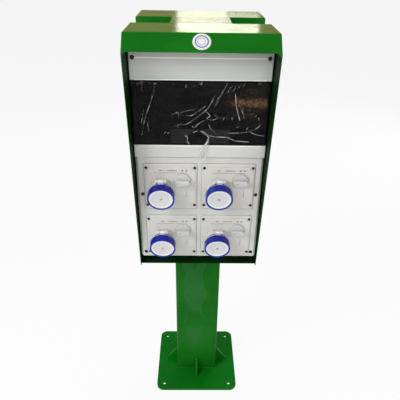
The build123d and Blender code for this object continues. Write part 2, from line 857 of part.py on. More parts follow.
# Screws of one side: cover screws into the case's pillars and flange screws into the cover
with BuildPart() as side_screws:
    for places, face, head, shank_length in (
        (band_screw_places, cover_front, cover_screw_head, cover_shank_length),
        (side_screw_places, socket_cover_front, cover_screw_head, cover_shank_length),
        (flange_screw_places, rebate_floor + flange_thickness, flange_screw_head, flange_shank_length),
    ):
        with BuildSketch(front(face - screw_sink)):
            with Locations(*places):
                Circle(head / 2)
        extrude(amount=screw_head_height)
        with BuildSketch(front(face - screw_sink)):
            with Locations(*places):
                Circle(screw_shank / 2)
        extrude(amount=-shank_length)

# Screws of both sides in one group, and likewise the contact inserts
with BuildPart() as cover_screws:
    add(side_screws.part)
    add(side_screws.part, rotation=(0, 0, 180))
with BuildPart() as contact_inserts:
    for turn in (0, 180):
        for place_x, place_z in socket_places:
            place = Location((0, 0, 0), (0, 0, turn)) * Location((place_x, -rebate_floor, place_z))
            add(contact_insert.part.moved(place))


def save(piece, label):
    """Label one finished piece and write it as its own file."""
    piece.label = label
    export_step(piece, f"parts/{label}.step")


os.makedirs("parts", exist_ok=True)
save(base_plate.part, "base_plate")
save(post.part, "post")
save(post_cap.part, "post_cap")
save(gussets.part, "gussets")
save(cover_screws.part, "cover_screws")
save(contact_inserts.part, "contact_inserts")
cabinet_pieces = {
    "hood": hood,
    "case": case,
    "breaker_cover": breaker_cover,
    "breaker_row": breaker_row,
    "window": window,
    "window_latch": window_latch,
    "socket_cover": socket_cover,
}
socket_pieces = {
    "flange": flange,
    "socket_body": socket_body,
    "lid": lid,
    "lock_ring": lock_ring,
    "knob": knob,
}
for side, turn in (("front", 0), ("rear", 180)):
    side_place = Location((0, 0, 0), (0, 0, turn))
    for name, builder in cabinet_pieces.items():
        save(builder.part.moved(side_place), f"{side}_{name}")
    for number, (place_x, place_z) in enumerate(socket_places, start=1):
        socket_place = side_place * Location((place_x, -rebate_floor, place_z))
        for name, builder in socket_pieces.items():
            save(builder.part.moved(socket_place), f"{side}_{name}_{number}")
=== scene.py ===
"""Dresses the double-sided socket pedestal and stands it in a plain studio.

Metres, +Z up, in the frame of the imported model: the front faces -Y and the origin is under the base plate.
Sheet metal, covers and cases keep their solids and get a finish. Turned and moulded pieces that show their
roundness are modelled again here, in the same places, and the film, badge, print and welds are added.
"""

import json
import logging
import math
from collections.abc import Callable
from dataclasses import dataclass, field
from enum import Enum, StrEnum, auto
from typing import TypeAlias

import bmesh
import bpy
from mathutils import Matrix, Vector

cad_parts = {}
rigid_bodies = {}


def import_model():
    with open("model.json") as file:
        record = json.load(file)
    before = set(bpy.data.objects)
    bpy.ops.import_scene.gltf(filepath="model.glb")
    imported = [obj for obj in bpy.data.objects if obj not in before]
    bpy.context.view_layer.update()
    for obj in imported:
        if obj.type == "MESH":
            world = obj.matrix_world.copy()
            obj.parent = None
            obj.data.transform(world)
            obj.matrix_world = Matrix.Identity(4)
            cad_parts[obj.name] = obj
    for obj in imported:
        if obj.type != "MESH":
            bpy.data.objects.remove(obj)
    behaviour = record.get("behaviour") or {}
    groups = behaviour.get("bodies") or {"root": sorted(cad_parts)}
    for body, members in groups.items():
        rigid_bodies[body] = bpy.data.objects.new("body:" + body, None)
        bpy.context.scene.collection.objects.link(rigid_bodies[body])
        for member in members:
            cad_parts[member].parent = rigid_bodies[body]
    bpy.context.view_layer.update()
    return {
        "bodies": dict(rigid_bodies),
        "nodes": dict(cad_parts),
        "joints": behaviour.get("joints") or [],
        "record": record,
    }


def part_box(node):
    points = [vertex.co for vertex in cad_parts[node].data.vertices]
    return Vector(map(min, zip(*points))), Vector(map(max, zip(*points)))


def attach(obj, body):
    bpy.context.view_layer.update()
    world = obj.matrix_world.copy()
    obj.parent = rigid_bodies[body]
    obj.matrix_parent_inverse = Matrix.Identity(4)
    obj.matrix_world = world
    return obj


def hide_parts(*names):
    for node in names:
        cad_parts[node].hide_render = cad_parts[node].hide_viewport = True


LOG = logging.getLogger("pedestal")

# The numbers of each side's sockets, and the way from a flange's middle to its knob: to the right, and up.
SOCKETS = range(1, 5)
KNOB_OFFSET = Vector((0.033, 0.019))
# Half the width and half the height of the tear in the film.
TEAR_HALF = (0.027, 0.020)

Colour: TypeAlias = tuple[float, float, float, float]
Setting: TypeAlias = "Wire | float | Colour | Vector"
Sockets: TypeAlias = "dict[str | int, Setting]"
Shape: TypeAlias = bmesh.types.BMesh
Material: TypeAlias = bpy.types.Material
Piece: TypeAlias = bpy.types.Object
Look: TypeAlias = "tuple[Wire, Wire]"
Pair: TypeAlias = tuple[float, float]
Triple: TypeAlias = tuple[float, float, float]


def rgb(red: float, green: float, blue: float) -> Colour:
    """Give an opaque linear colour."""
    return (red, green, blue, 1.0)


class Slot(StrEnum):
    """The record's material slots, each by its name in small letters."""

    GREEN_COAT = auto()
    FLANGE_PLASTIC = auto()
    SMOKED_PLASTIC = auto()
    BLUE_PLASTIC = auto()
    LID_PLASTIC = auto()
    KNOB_PLASTIC = auto()
    SCREW_BLACK = auto()


class Side(Enum):
    """The two cabinets, each with its turn about the post."""

    FRONT = 0.0
    REAR = math.pi

    @property
    def prefix(self) -> str:
        """The start of this side's node, body and joint names."""
        return self.name.lower()

    @property
    def turn(self) -> Matrix:
        """The turn that brings a front piece to this side."""
        return Matrix.Rotation(self.value, 4, "Z")

    @property
    def right(self) -> Vector:
        """What is to the right for someone who faces this side."""
        return self.turn.to_3x3() @ Vector((1.0, 0.0, 0.0))

    @property
    def outward(self) -> Vector:
        """The way that this side faces."""
        return self.turn.to_3x3() @ Vector((0.0, -1.0, 0.0))


def _operator(operation: str, swapped: bool = False) -> Callable[..., "Wire"]:
    """Give the method of one operator of a wire.

    Args:
        operation: what its Math node does.
        swapped: whether the other value comes first.

    Returns:
        The method.
    """

    def method(wire: "Wire", other: Setting = 0.0) -> "Wire":
        """Add the operator's Math node."""
        first, second = (other, wire) if swapped else (wire, other)
        return wire.shader.node("ShaderNodeMath", {"operation": operation}, {0: first, 1: second})

    return method


@dataclass(frozen=True)
class Wire:
    """One value in a finish's nodes. Each operator adds a Math node, and a comparison gives 1 or 0."""

    shader: "Shader"
    socket: bpy.types.NodeSocket

    __add__, __radd__ = _operator("ADD"), _operator("ADD", True)
    __sub__, __rsub__ = _operator("SUBTRACT"), _operator("SUBTRACT", True)
    __mul__, __rmul__ = _operator("MULTIPLY"), _operator("MULTIPLY", True)
    __lt__, __gt__ = _operator("LESS_THAN"), _operator("GREATER_THAN")
    __abs__ = _operator("ABSOLUTE")


@dataclass(frozen=True)
class Layer:
    """Soft noise: its blotches to a metre, its finer layers, and where its patches rise from 0 to 1.

    With a stretch, each axis is scaled first.
    """

    scale: float
    detail: float = 2.0
    low: float = 0.0
    high: float = 1.0
    stretch: tuple[float, ...] = ()


@dataclass(frozen=True)
class Specks:
    """Scattered specks: the cells to a metre with one in each, its share of a cell, and how much it shows."""

    colour: Colour
    cells: float
    size: float
    where: Layer
    share: float
    roughness: float = 0.0


class Shader:
    """The node tree of one material."""

    MIX_INPUTS = (0, 6, 7)
    MIX_RESULT = 2
    EDGE_SAMPLES = 4

    def __init__(self, name: str) -> None:
        """Start a material that has only its output.

        Args:
            name: the finish's own name.
        """
        self.material = bpy.data.materials.new(name)
        self.material.use_nodes = True
        self.tree = self.material.node_tree
        self.tree.nodes.clear()
        self.end = self.tree.nodes.new("ShaderNodeOutputMaterial")

    def node(
        self,
        kind: str,
        settings: dict[str, object] | None = None,
        inputs: "Sockets | None" = None,
        output: str | int = 0,
    ) -> Wire:
        """Add one node, set it up and wire it.

        Args:
            kind: the node's type.
            settings: its own properties.
            inputs: a value or a wire for each socket, by name or number.
            output: the socket to give back.

        Returns:
            The chosen output.
        """
        node = self.tree.nodes.new(kind)
        for key, value in (settings or {}).items():
            setattr(node, key, value)
        for key, value in (inputs or {}).items():
            if isinstance(value, Wire):
                self.tree.links.new(value.socket, node.inputs[key])
            else:
                node.inputs[key].default_value = value
        return Wire(self, node.outputs[output])

    def place(self) -> Wire:
        """Give the point on the object, in metres."""
        return self.node("ShaderNodeTexCoord", output="Object")

    def along(self, axis: str) -> Wire:
        """Give one coordinate of the point on the object."""
        return self.node("ShaderNodeSeparateXYZ", inputs={0: self.place()}, output=axis)

    def noise(self, layer: Layer) -> Wire:
        """Give a layer's noise.

        Args:
            layer: its measures.

        Returns:
            The noise, mostly from 0.3 to 0.7.
        """
        point = self.place()
        if layer.stretch:
            point = self.node("ShaderNodeMapping", inputs={"Vector": point, "Scale": layer.stretch})
        inputs = {"Vector": point, "Scale": layer.scale, "Detail": layer.detail}
        return self.node("ShaderNodeTexNoise", inputs=inputs)

    def rise(self, value: Wire, low: float, high: float) -> Wire:
        """Give a soft step on a value, from 0 at low to 1 at high."""
        inputs = {"Value": value, "From Min": low, "From Max": high}
        return self.node("ShaderNodeMapRange", {"interpolation_type": "SMOOTHSTEP"}, inputs)

    def patches(self, layer: Layer) -> Wire:
        """Give a layer's noise as soft patches, from 0 at its low to 1 at its high."""
        return self.rise(self.noise(layer), layer.low, layer.high)

    def specks(self, specks: Specks) -> Wire:
        """Give 1 on specks in their layer's patches, and 0 elsewhere."""
        cells = self.node("ShaderNodeTexVoronoi", inputs={"Vector": self.place(), "Scale": specks.cells})
        return (cells < specks.size) * self.patches(specks.where)

    def mix(self, share: Setting, first: Setting, second: Setting) -> Wire:
        """Blend two colours, the first at a share of 0 and the second at 1."""
        inputs = dict(zip(self.MIX_INPUTS, (share, first, second)))
        return self.node("ShaderNodeMix", {"data_type": "RGBA"}, inputs, self.MIX_RESULT)

    def bump(self, height: Wire, distance: float, round_edge: float = 0.0) -> Wire:
        """Give a surface relief.

        Args:
            height: the relief, from 0 to 1.
            distance: its height in metres.
            round_edge: the radius to which sharp edges are softened, or 0.

        Returns:
            The normal.
        """
        inputs: Sockets = {"Height": height, "Distance": distance}
        if round_edge:
            settings = {"samples": self.EDGE_SAMPLES}
            inputs["Normal"] = self.node("ShaderNodeBevel", settings, {"Radius": round_edge})
        return self.node("ShaderNodeBump", inputs=inputs)

    def end_in(self, surface: Wire) -> Material:
        """End the tree in a surface and give the finished material."""
        self.tree.links.new(surface.socket, self.end.inputs["Surface"])
        return self.material

    def close(self, sockets: Sockets) -> Material:
        """End the tree in one principled surface with these values and wires."""
        return self.end_in(self.node("ShaderNodeBsdfPrincipled", inputs=sockets))


@dataclass(frozen=True)
class Finish:
    """A finish in two colours that blend in patches, with uneven gloss, a fine relief and perhaps specks.

    The gloss follows the patches where it has no noise of its own. Where least and most differ, the finish is
    least opaque off its patches and most opaque on them.
    """

    name: str
    colour: Colour
    second: Colour
    roughness: float = 0.3
    unevenness: float = 0.2
    gloss: Layer | None = None
    specular: float = 0.5
    metallic: float = 0.0
    least: float = 1.0
    most: float = 1.0
    patches: Layer = Layer(60.0, 3.0, 0.4, 0.7)
    relief: Layer = Layer(1200.0, 1.0)
    relief_height: float = 0.00002
    round_edge: float = 0.0
    specks: Specks | None = None

    def material(self) -> Material:
        """Give the finish's material, which is made at its first use."""
        return bpy.data.materials.get(self.name) or self._made()

    def _made(self) -> Material:
        """Make the material.

        Returns:
            The finish, with its own marks.
        """
        shader = Shader(self.name)
        patches = shader.patches(self.patches)
        colour = shader.mix(patches, self.colour, self.second)
        uneven = shader.noise(self.gloss) if self.gloss else patches
        colour, rough = self.marked(shader, (colour, self.roughness + self.unevenness * uneven))
        if self.specks:
            speck = shader.specks(self.specks)
            colour = shader.mix(speck * self.specks.share, colour, self.specks.colour)
            rough = rough + self.specks.roughness * speck
        clear = self.most > self.least
        return shader.close(
            {
                "Base Color": colour,
                "Metallic": self.metallic,
                "Roughness": rough,
                "Specular IOR Level": self.specular,
                "Alpha": self.least + (self.most - self.least) * patches if clear else self.most,
                "Normal": shader.bump(shader.noise(self.relief), self.relief_height, self.round_edge),
            }
        )

    def marked(self, shader: Shader, look: Look) -> Look:
        """Give the colour and roughness with the finish's own marks, which a plain one lacks."""
        return look


@dataclass(frozen=True)
class PowderCoat(Finish):
    """Glossy green powder coat: orange peel, slight mottling and a little settled dust.

    Above film_above, where that is given, leftover clear film hazes it, most in a column that lies film_aside
    to the left of the middle. Inside a hood, within inner_half of the middle and below inner_top, where those
    are given, the coat is darkened with painted shade and made duller.
    """

    colour: Colour = rgb(0.010, 0.162, 0.010)
    second: Colour = rgb(0.006, 0.130, 0.007)
    roughness: float = 0.10
    unevenness: float = 0.12
    gloss: Layer | None = Layer(16.0, 3.0)
    specular: float = 0.12
    patches: Layer = Layer(7.0, 3.0, 0.35, 0.65)
    relief: Layer = Layer(650.0, 1.0)
    relief_height: float = 0.00003
    round_edge: float = 0.0008
    specks: Specks | None = Specks(
        rgb(0.10, 0.26, 0.11), 55.0, 0.045, Layer(20.0, low=0.5, high=0.56), 0.8, 0.3
    )
    film_above: float = 0.0
    film_edge: Layer = Layer(30.0)
    film_fade: float = 0.03
    film_half: float = 0.034
    film_aside: float = 0.010
    film_sway: Layer = Layer(9.0)
    sway_depth: float = 0.09
    sway_middle: float = 0.5
    sway_fade: float = 0.003
    film_gaps: Layer = Layer(11.0, 2.0, 0.37, 0.39, (1.0, 1.0, 0.45))
    film_least: float = 0.05
    film_more: float = 0.5
    film_roughness: float = 0.10
    hazy: Colour = rgb(0.030, 0.150, 0.044)
    inner_half: float = 0.0
    inner_top: float = 0.0
    inner_share: float = 0.9
    inner_roughness: float = 0.4
    thin: Colour = rgb(0.002, 0.012, 0.003)

    def marked(self, shader: Shader, look: Look) -> Look:
        """Lay the film and paint shade on the inside, where they are given.

        Args:
            shader: the material in the making.
            look: the plain coat's colour and roughness.

        Returns:
            The marked ones.
        """
        colour, rough = look
        if self.film_above:
            edge = shader.along("Z") + self.film_fade * shader.noise(self.film_edge)
            film = shader.rise(edge, self.film_above, self.film_above + self.film_fade)
            column = self.film_half - abs(shader.along("X") + self.film_aside)
            sway = self.sway_depth * (shader.noise(self.film_sway) - self.sway_middle)
            patch = shader.rise(column + sway, 0.0, self.sway_fade) * shader.patches(self.film_gaps)
            colour = shader.mix(film * (self.film_least + self.film_more * patch), colour, self.hazy)
            rough = rough + self.film_roughness * film
        # Painted shade: inside the hood the coat is darkened towards the inner shade colour, and its
        # roughness is raised.
        if self.inner_half:
            inner = (abs(shader.along("X")) < self.inner_half) * (shader.along("Z") < self.inner_top)
            colour = shader.mix(inner * self.inner_share, colour, self.thin)
            rough = rough + self.inner_roughness * inner
        return colour, rough


@dataclass(frozen=True)
class MouldedPlastic(Finish):
    """Moulded plastic with a fine grain, faint clouding, rub streaks and a little dirt."""

    roughness: float = 0.26
    gloss: Layer | None = Layer(45.0, 4.0, stretch=(1.0, 1.0, 0.25))
    specular: float = 0.4
    patches: Layer = Layer(6.0, 3.0, 0.3, 0.7)
    relief: Layer = Layer(1600.0, 1.0)
    relief_height: float = 0.00003
    round_edge: float = 0.0007
    specks: Specks | None = Specks(
        rgb(0.20, 0.19, 0.17), 140.0, 0.035, Layer(35.0, low=0.52, high=0.58), 0.35
    )


@dataclass(frozen=True)
class WindowCoverPlastic(MouldedPlastic):
    """The breaker cover's plastic: dark hinge lugs in its bay, and painted highlights along its long edges.
    """

    bay_low: float = 0.990
    bay_high: float = 1.1475
    lug_depth: float = 0.1555
    lug: Colour = rgb(0.030, 0.030, 0.029)
    pale: Colour = rgb(0.92, 0.93, 0.91)
    pale_edges: tuple[float, ...] = (1.1992, 1.1496, 0.9842)
    pale_half: float = 0.0013
    pale_fade: float = 1.5
    pale_reach: float = 0.158

    def marked(self, shader: Shader, look: Look) -> Look:
        """Paint highlights along the long edges and darken the lugs.

        Args:
            shader: the material in the making.
            look: the plain plastic's colour and roughness.

        Returns:
            The marked ones.
        """
        colour, rough = look
        height, depth = shader.along("Z"), abs(shader.along("Y"))
        inner = abs(shader.along("X")) < self.pale_reach
        # Painted highlights: thin pale lines along the band's edges, where the relief would catch the light.
        for edge in self.pale_edges:
            edge_highlight_share = 1 - shader.rise(abs(height - edge), self.pale_half, self.pale_half * self.pale_fade)
            colour = shader.mix(inner * edge_highlight_share, colour, self.pale)
        lugs = (depth > self.lug_depth) * (height > self.bay_low) * (height < self.bay_high)
        return shader.mix(lugs, colour, self.lug), rough


@dataclass(frozen=True)
class BreakerPlastic(MouldedPlastic):
    """The breakers' plastic: dark toggles, and a printed line across the noses."""

    toggle_depth: float = 0.1567
    toggle: Colour = rgb(0.012, 0.013, 0.016)
    nose_depth: float = 0.1560
    line_height: float = 1.0500
    line_half: float = 0.0015
    line: Colour = rgb(0.16, 0.18, 0.22)

    def marked(self, shader: Shader, look: Look) -> Look:
        """Darken what stands out from the noses, and print the line.

        Args:
            shader: the material in the making.
            look: the plain plastic's colour and roughness.

        Returns:
            The marked ones.
        """
        colour, rough = look
        height, depth = shader.along("Z"), abs(shader.along("Y"))
        line = (depth > self.nose_depth) * (abs(height - self.line_height) < self.line_half)
        colour = shader.mix(line, colour, self.line)
        return shader.mix(depth > self.toggle_depth, colour, self.toggle), rough


@dataclass(frozen=True)
class SmokedPane(Finish):
    """Deep smoked plastic, glossy and faintly smeared, with a sunk grip at its foot.

    Film left in the grip greys it, but not round torn_place, where it is pulled away.
    """

    colour: Colour = rgb(0.0032, 0.0033, 0.0036)
    second: Colour = rgb(0.0075, 0.0072, 0.0070)
    roughness: float = 0.07
    unevenness: float = 0.10
    specular: float = 0.09
    least: float = 0.96
    most: float = 0.96
    patches: Layer = Layer(22.0, 4.0, 0.42, 0.7, (0.5, 1.0, 1.4))
    relief: Layer = Layer(14.0)
    relief_height: float = 0.0002
    grip: Colour = rgb(0.0175, 0.0178, 0.0170)
    grip_half: float = 0.075
    grip_low: float = 0.991
    grip_high: float = 1.029
    torn_place: Pair = (-0.0061, 1.003)
    torn_edge: Layer = Layer(70.0)
    torn_depth: float = 0.8
    torn_limit: float = 1.3

    def marked(self, shader: Shader, look: Look) -> Look:
        """Grey the grip, except where its film is torn.

        Args:
            shader: the material in the making.
            look: the plain pane's colour and roughness.

        Returns:
            The marked ones.
        """
        height, right = shader.along("Z"), shader.along("X")
        grip = (abs(right) < self.grip_half) * (height > self.grip_low) * (height < self.grip_high)
        across = (right - self.torn_place[0]) * (1 / TEAR_HALF[0])
        up = (height - self.torn_place[1]) * (1 / TEAR_HALF[1])
        edge = self.torn_depth * shader.noise(self.torn_edge)
        grip = grip * (across * across + up * up + edge > self.torn_limit)
        return shader.mix(grip, look[0], self.grip), look[1]


@dataclass(frozen=True)
class ClearFilm(Finish):
    """Clear protective film, whitened and most opaque where it is creased; on the crease pieces the white is
    partly painted glints of the lamps.
    """

    colour: Colour = rgb(0.62, 0.62, 0.60)
    second: Colour = rgb(0.8, 0.8, 0.78)
    specular: float = 0.3
    patches: Layer = Layer(40.0, low=0.45, high=0.74)
    relief: Layer = Layer(60.0)
    relief_height: float = 0.0001


@dataclass(frozen=True)
class Ink(Finish):
    """Printed ink, a little worn."""

    roughness: float = 0.42
    unevenness: float = 0.1
    patches: Layer = Layer(300.0, 3.0, 0.5, 0.72)


@dataclass(frozen=True)
class BareMetal(Finish):
    """Plated metal with a brushed sheen and some tarnish."""

    unevenness: float = 0.15
    gloss: Layer | None = Layer(500.0, stretch=(0.05, 1.0, 1.0))
    metallic: float = 1.0
    relief: Layer = Layer(500.0, stretch=(0.05, 1.0, 1.0))


@dataclass(frozen=True)
class StudioFloor:
    """Pale paper floor that looks white to the camera and keeps a soft shadow."""

    name: str = "studio_floor"
    colour: Colour = rgb(0.92, 0.92, 0.92)
    white: Colour = rgb(1.0, 1.0, 1.0)
    paper_white: float = 0.90

    def material(self) -> Material:
        """Make the material.

        Returns:
            The floor's paper.
        """
        shader = Shader(self.name)
        paper = shader.node("ShaderNodeBsdfDiffuse", inputs={"Color": self.colour})
        glow = shader.node("ShaderNodeEmission", inputs={"Color": self.white, "Strength": 1.0})
        kinds = ("Camera", "Glossy", "Transmission")
        rays = [shader.node("ShaderNodeLightPath", output=f"Is {kind} Ray") for kind in kinds]
        seen = sum(rays[1:], rays[0])
        mixed = shader.node("ShaderNodeMixShader", inputs={0: self.paper_white * seen, 1: paper, 2: glow})
        return shader.end_in(mixed)


class Palette:
    """Every finish of the pedestal."""

    LIGHT_GREY = rgb(0.655, 0.668, 0.63), rgb(0.61, 0.62, 0.585)
    STREAK = (0.5, 1.0, 1.5)
    COAT = PowderCoat("green_powder_coat", rgb(0.007, 0.190, 0.012), rgb(0.005, 0.160, 0.009))
    # Its inside is darkened with painted shade.
    HOOD_COAT = PowderCoat("green_hood_coat", inner_half=0.1742, inner_top=1.2150)
    POST_COAT = PowderCoat("green_coat_under_film", film_above=0.13, specular=0.05)
    CAP_COAT = PowderCoat("dull_cap_coat", specular=0.09, roughness=0.13)
    GREY = MouldedPlastic("light_grey_cover", *LIGHT_GREY)
    # Its long edges carry painted highlights.
    COVER = WindowCoverPlastic("light_grey_window_cover", *LIGHT_GREY)
    FLANGE = MouldedPlastic("warm_grey_flange", rgb(0.70, 0.685, 0.64), rgb(0.65, 0.635, 0.595))
    BLUE = MouldedPlastic(
        "signal_blue", rgb(0.006, 0.020, 0.38), rgb(0.004, 0.013, 0.26), 0.08,
        specular=0.32, relief_height=0.00001, round_edge=0.0004,
    )
    LID = MouldedPlastic("pale_lid", rgb(0.70, 0.70, 0.715), rgb(0.65, 0.65, 0.67), 0.2)
    # The rim's white is a painted highlight; the hinge arm, knuckle and pin share this finish.
    LID_RIM = MouldedPlastic("white_rim", rgb(0.86, 0.86, 0.86), rgb(0.80, 0.80, 0.81), 0.18)
    KNOB = MouldedPlastic("pale_knob", rgb(0.62, 0.62, 0.61), rgb(0.57, 0.57, 0.56), 0.2)
    RUBBER = MouldedPlastic("black_seal", rgb(0.014, 0.014, 0.015), rgb(0.02, 0.02, 0.02), 0.5)
    BLACK = MouldedPlastic("black_fastener", rgb(0.008, 0.008, 0.009), rgb(0.016, 0.015, 0.014))
    LATCH = MouldedPlastic(
        "matt_black_latch", rgb(0.004, 0.004, 0.004), rgb(0.007, 0.007, 0.007), 0.45, specular=0.12
    )
    BREAKER = BreakerPlastic("breaker_grey", rgb(0.68, 0.69, 0.68), rgb(0.62, 0.63, 0.62))
    PANE = SmokedPane("smoked_pane")
    FILM = ClearFilm(
        "clear_film", least=0.0, most=0.12, patches=Layer(16.0, 2.0, 0.73, 0.74, STREAK),
        relief=Layer(60.0, stretch=STREAK),
    )
    # Whitish crease films: partly the film's own whitening, partly painted glints where the lamps catch the
    # folds.
    CREASE = ClearFilm("creased_film", least=0.10, most=0.55)
    BRIGHT_CREASE = ClearFilm("bright_film", rgb(0.8, 0.8, 0.79), least=0.45, most=0.95)
    WHITE_FILM = ClearFilm("whitened_film", rgb(0.9, 0.9, 0.9), least=0.85)
    INK = Ink("grey_print", rgb(0.20, 0.20, 0.19), rgb(0.42, 0.41, 0.39))
    DARK_INK = Ink("dark_print", rgb(0.05, 0.05, 0.05), rgb(0.16, 0.16, 0.15))
    BLUE_INK = Ink("blue_print", rgb(0.05, 0.06, 0.30), rgb(0.16, 0.18, 0.42))
    BADGE = MouldedPlastic("badge_white", rgb(0.82, 0.82, 0.82), rgb(0.76, 0.76, 0.77), 0.2)
    PIP = MouldedPlastic("amber_pip", rgb(0.62, 0.36, 0.03), rgb(0.40, 0.20, 0.02), 0.2)
    BRASS = BareMetal("contact_brass", rgb(0.80, 0.58, 0.25), rgb(0.55, 0.38, 0.16))


def frame_at(origin: Vector, outward: Vector, right: Vector) -> Matrix:
    """Give a place with X to the right, Y up and Z outward.

    Args:
        origin: its zero point.
        outward: its Z axis.
        right: its X axis.

    Returns:
        The matrix that puts a shape there.
    """
    axis = outward.normalized()
    rows = Matrix((right, axis.cross(right).normalized(), axis))
    return Matrix.Translation(origin) @ rows.transposed().to_4x4()


def moved(right: float = 0.0, up: float = 0.0, out: float = 0.0) -> Matrix:
    """Give a shift within a frame."""
    return Matrix.Translation((right, up, out))


# Lays what runs along Z along X.
ACROSS = Matrix.Rotation(math.pi / 2, 4, "Y")


def block(width: float, height: float, depth: float) -> Shape:
    """Give a block about the origin."""
    shape = bmesh.new()
    bmesh.ops.create_cube(shape, size=1.0)
    bmesh.ops.scale(shape, vec=(width, height, depth), verts=shape.verts)
    return shape


def rod(radius: float, length: float, steps: int = 24) -> Shape:
    """Give a rod along Z about the origin."""
    shape = bmesh.new()
    bmesh.ops.create_cone(shape, cap_ends=True, segments=steps, radius1=radius, radius2=radius, depth=length)
    return shape


def turned(profile: list[Pair], steps: int = 72, closed: bool = False) -> Shape:
    """Turn a profile round the Z axis.

    Args:
        profile: (radius, height) points.
        steps: how many facets it has round.
        closed: whether the last point joins the first.

    Returns:
        The turned shape.
    """
    shape = bmesh.new()
    verts = [shape.verts.new((radius, 0.0, height)) for radius, height in profile]
    ends = verts[1:] + verts[:1] if closed else verts[1:]
    edges = [shape.edges.new(pair) for pair in zip(verts, ends)]
    middle, axis = (0.0, 0.0, 0.0), (0.0, 0.0, 1.0)
    full_turn, same_place = 2 * math.pi, 1e-6
    bmesh.ops.spin(
        shape, geom=verts + edges, cent=middle, axis=axis, angle=full_turn, steps=steps, use_merge=True
    )
    bmesh.ops.remove_doubles(shape, verts=shape.verts, dist=same_place)
    bmesh.ops.recalc_face_normals(shape, faces=shape.faces)
    return shape


def tube(inner: float, outer: float, low: float, top: float, steps: int = 72) -> Shape:
    """Give a tube round the Z axis, from low to top."""
    return turned([(inner, top), (outer, top), (outer, low), (inner, low)], steps, closed=True)


def soften(shape: Shape, radius: float, segments: int = 2, upright: bool = False) -> Shape:
    """Round a shape's sharp edges.

    Args:
        shape: what to round.
        radius: the rounding's size.
        segments: how many facets it has.
        upright: whether only the edges along Z are rounded.

    Returns:
        The same shape.
    """
    least_angle, least_upright, round_profile = math.radians(35.0), 0.9, 0.5
    edges = [edge for edge in shape.edges if edge.is_manifold and edge.calc_face_angle() > least_angle]
    if upright:
        runs = [(edge, (edge.verts[0].co - edge.verts[1].co).normalized()) for edge in edges]
        edges = [edge for edge, run in runs if abs(run.z) > least_upright]
    bmesh.ops.bevel(
        shape, geom=edges, offset=radius, offset_type="OFFSET", affect="EDGES",
        segments=segments, profile=round_profile, material=-1, clamp_overlap=True,
    )
    return shape


def point_on(path: list[Vector], share: float) -> tuple[Vector, Vector]:
    """Follow a smooth line through a few points.

    Args:
        path: the points.
        share: how far along to go, from 0 to 1.

    Returns:
        The point there, and the way that the line runs.
    """
    before_end = 0.9999
    reach = min(share, before_end) * (len(path) - 1)
    step = int(reach)
    rest = reach - step
    start, end = path[step], path[step + 1]
    before = path[step - 1] if step else 2 * start - end
    after = path[step + 2] if step + 2 < len(path) else 2 * end - start
    lead, trail = (end - before) / 2, (after - start) / 2
    square, cube = rest * rest, rest * rest * rest
    point = (
        start * (2 * cube - 3 * square + 1)
        + lead * (cube - 2 * square + rest)
        + end * (3 * square - 2 * cube)
        + trail * (cube - square)
    )
    way = (
        (start - end) * (6 * square - 6 * rest)
        + lead * (3 * square - 4 * rest + 1)
        + trail * (3 * square - 2 * rest)
    )
    return point, way.normalized()


def ribbon(path: list[Vector], width: float, crown: float, steps: int, twist: float = 0.0) -> Shape:
    """Bend a narrow strip along a line, pointed at both ends.

    Args:
        path: the points that it follows.
        width: its width at the middle.
        crown: how far its middle stands out.
        steps: how many facets it has lengthwise.
        twist: how far it turns about its line, in radians.

    Returns:
        The strip.
    """
    shape = bmesh.new()
    bmesh.ops.create_grid(shape, x_segments=steps, y_segments=2, size=1.0)
    out = Vector((0.0, 0.0, 1.0))
    end_share, fullness = 0.08, 0.5
    for vert in shape.verts:
        share, lane = (vert.co.x + 1) / 2, vert.co.y
        point, way = point_on(path, share)
        full = max(end_share, math.sin(math.pi * share)) ** fullness
        face = Matrix.Rotation(twist * share, 3, way) @ out
        across = face.cross(way).normalized()
        vert.co = point + across * lane * full * width / 2 + face * (1 - abs(lane)) * full * crown
    bmesh.ops.recalc_face_normals(shape, faces=shape.faces)
    return shape


class Form:
    """A piece in the making: shaped parts are added to it one by one."""

    def __init__(self) -> None:
        """Start with nothing."""
        self.bm = bmesh.new()

    def add(self, shape: Shape, place: Matrix, finish: int = 0) -> "Form":
        """Add one shaped part.

        Args:
            shape: the part, which is used up.
            place: where it goes.
            finish: the number of its material on the piece.

        Returns:
            This form.
        """
        bmesh.ops.transform(shape, matrix=place, verts=shape.verts)
        for face in shape.faces:
            face.smooth = True
            face.material_index = finish
        mesh = bpy.data.meshes.new("shape")
        shape.to_mesh(mesh)
        shape.free()
        self.bm.from_mesh(mesh)
        bpy.data.meshes.remove(mesh)
        return self

    def piece(
        self, name: str, body: str, slot: Slot, finishes: list[Finish], replaced: tuple[str, ...] = ()
    ) -> Piece:
        """End the form as a piece that rides on a body.

        Args:
            name: the piece's name.
            body: the body that it moves with.
            slot: the record's slot for its finish; not used.
            finishes: its finishes, in the order of their numbers.
            replaced: the CAD nodes that it stands for.

        Returns:
            The piece.
        """
        crease_angle = math.radians(32.0)
        mesh = bpy.data.meshes.new(name)
        self.bm.to_mesh(mesh)
        self.bm.free()
        mesh.set_sharp_from_angle(angle=crease_angle)
        for finish in finishes:
            mesh.materials.append(finish.material())
        piece = bpy.data.objects.new(name, mesh)
        bpy.context.scene.collection.objects.link(piece)
        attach(piece, body)
        if replaced:
            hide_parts(*replaced)
        LOG.info("%s: %d faces on %s", name, len(mesh.polygons), body)
        return piece


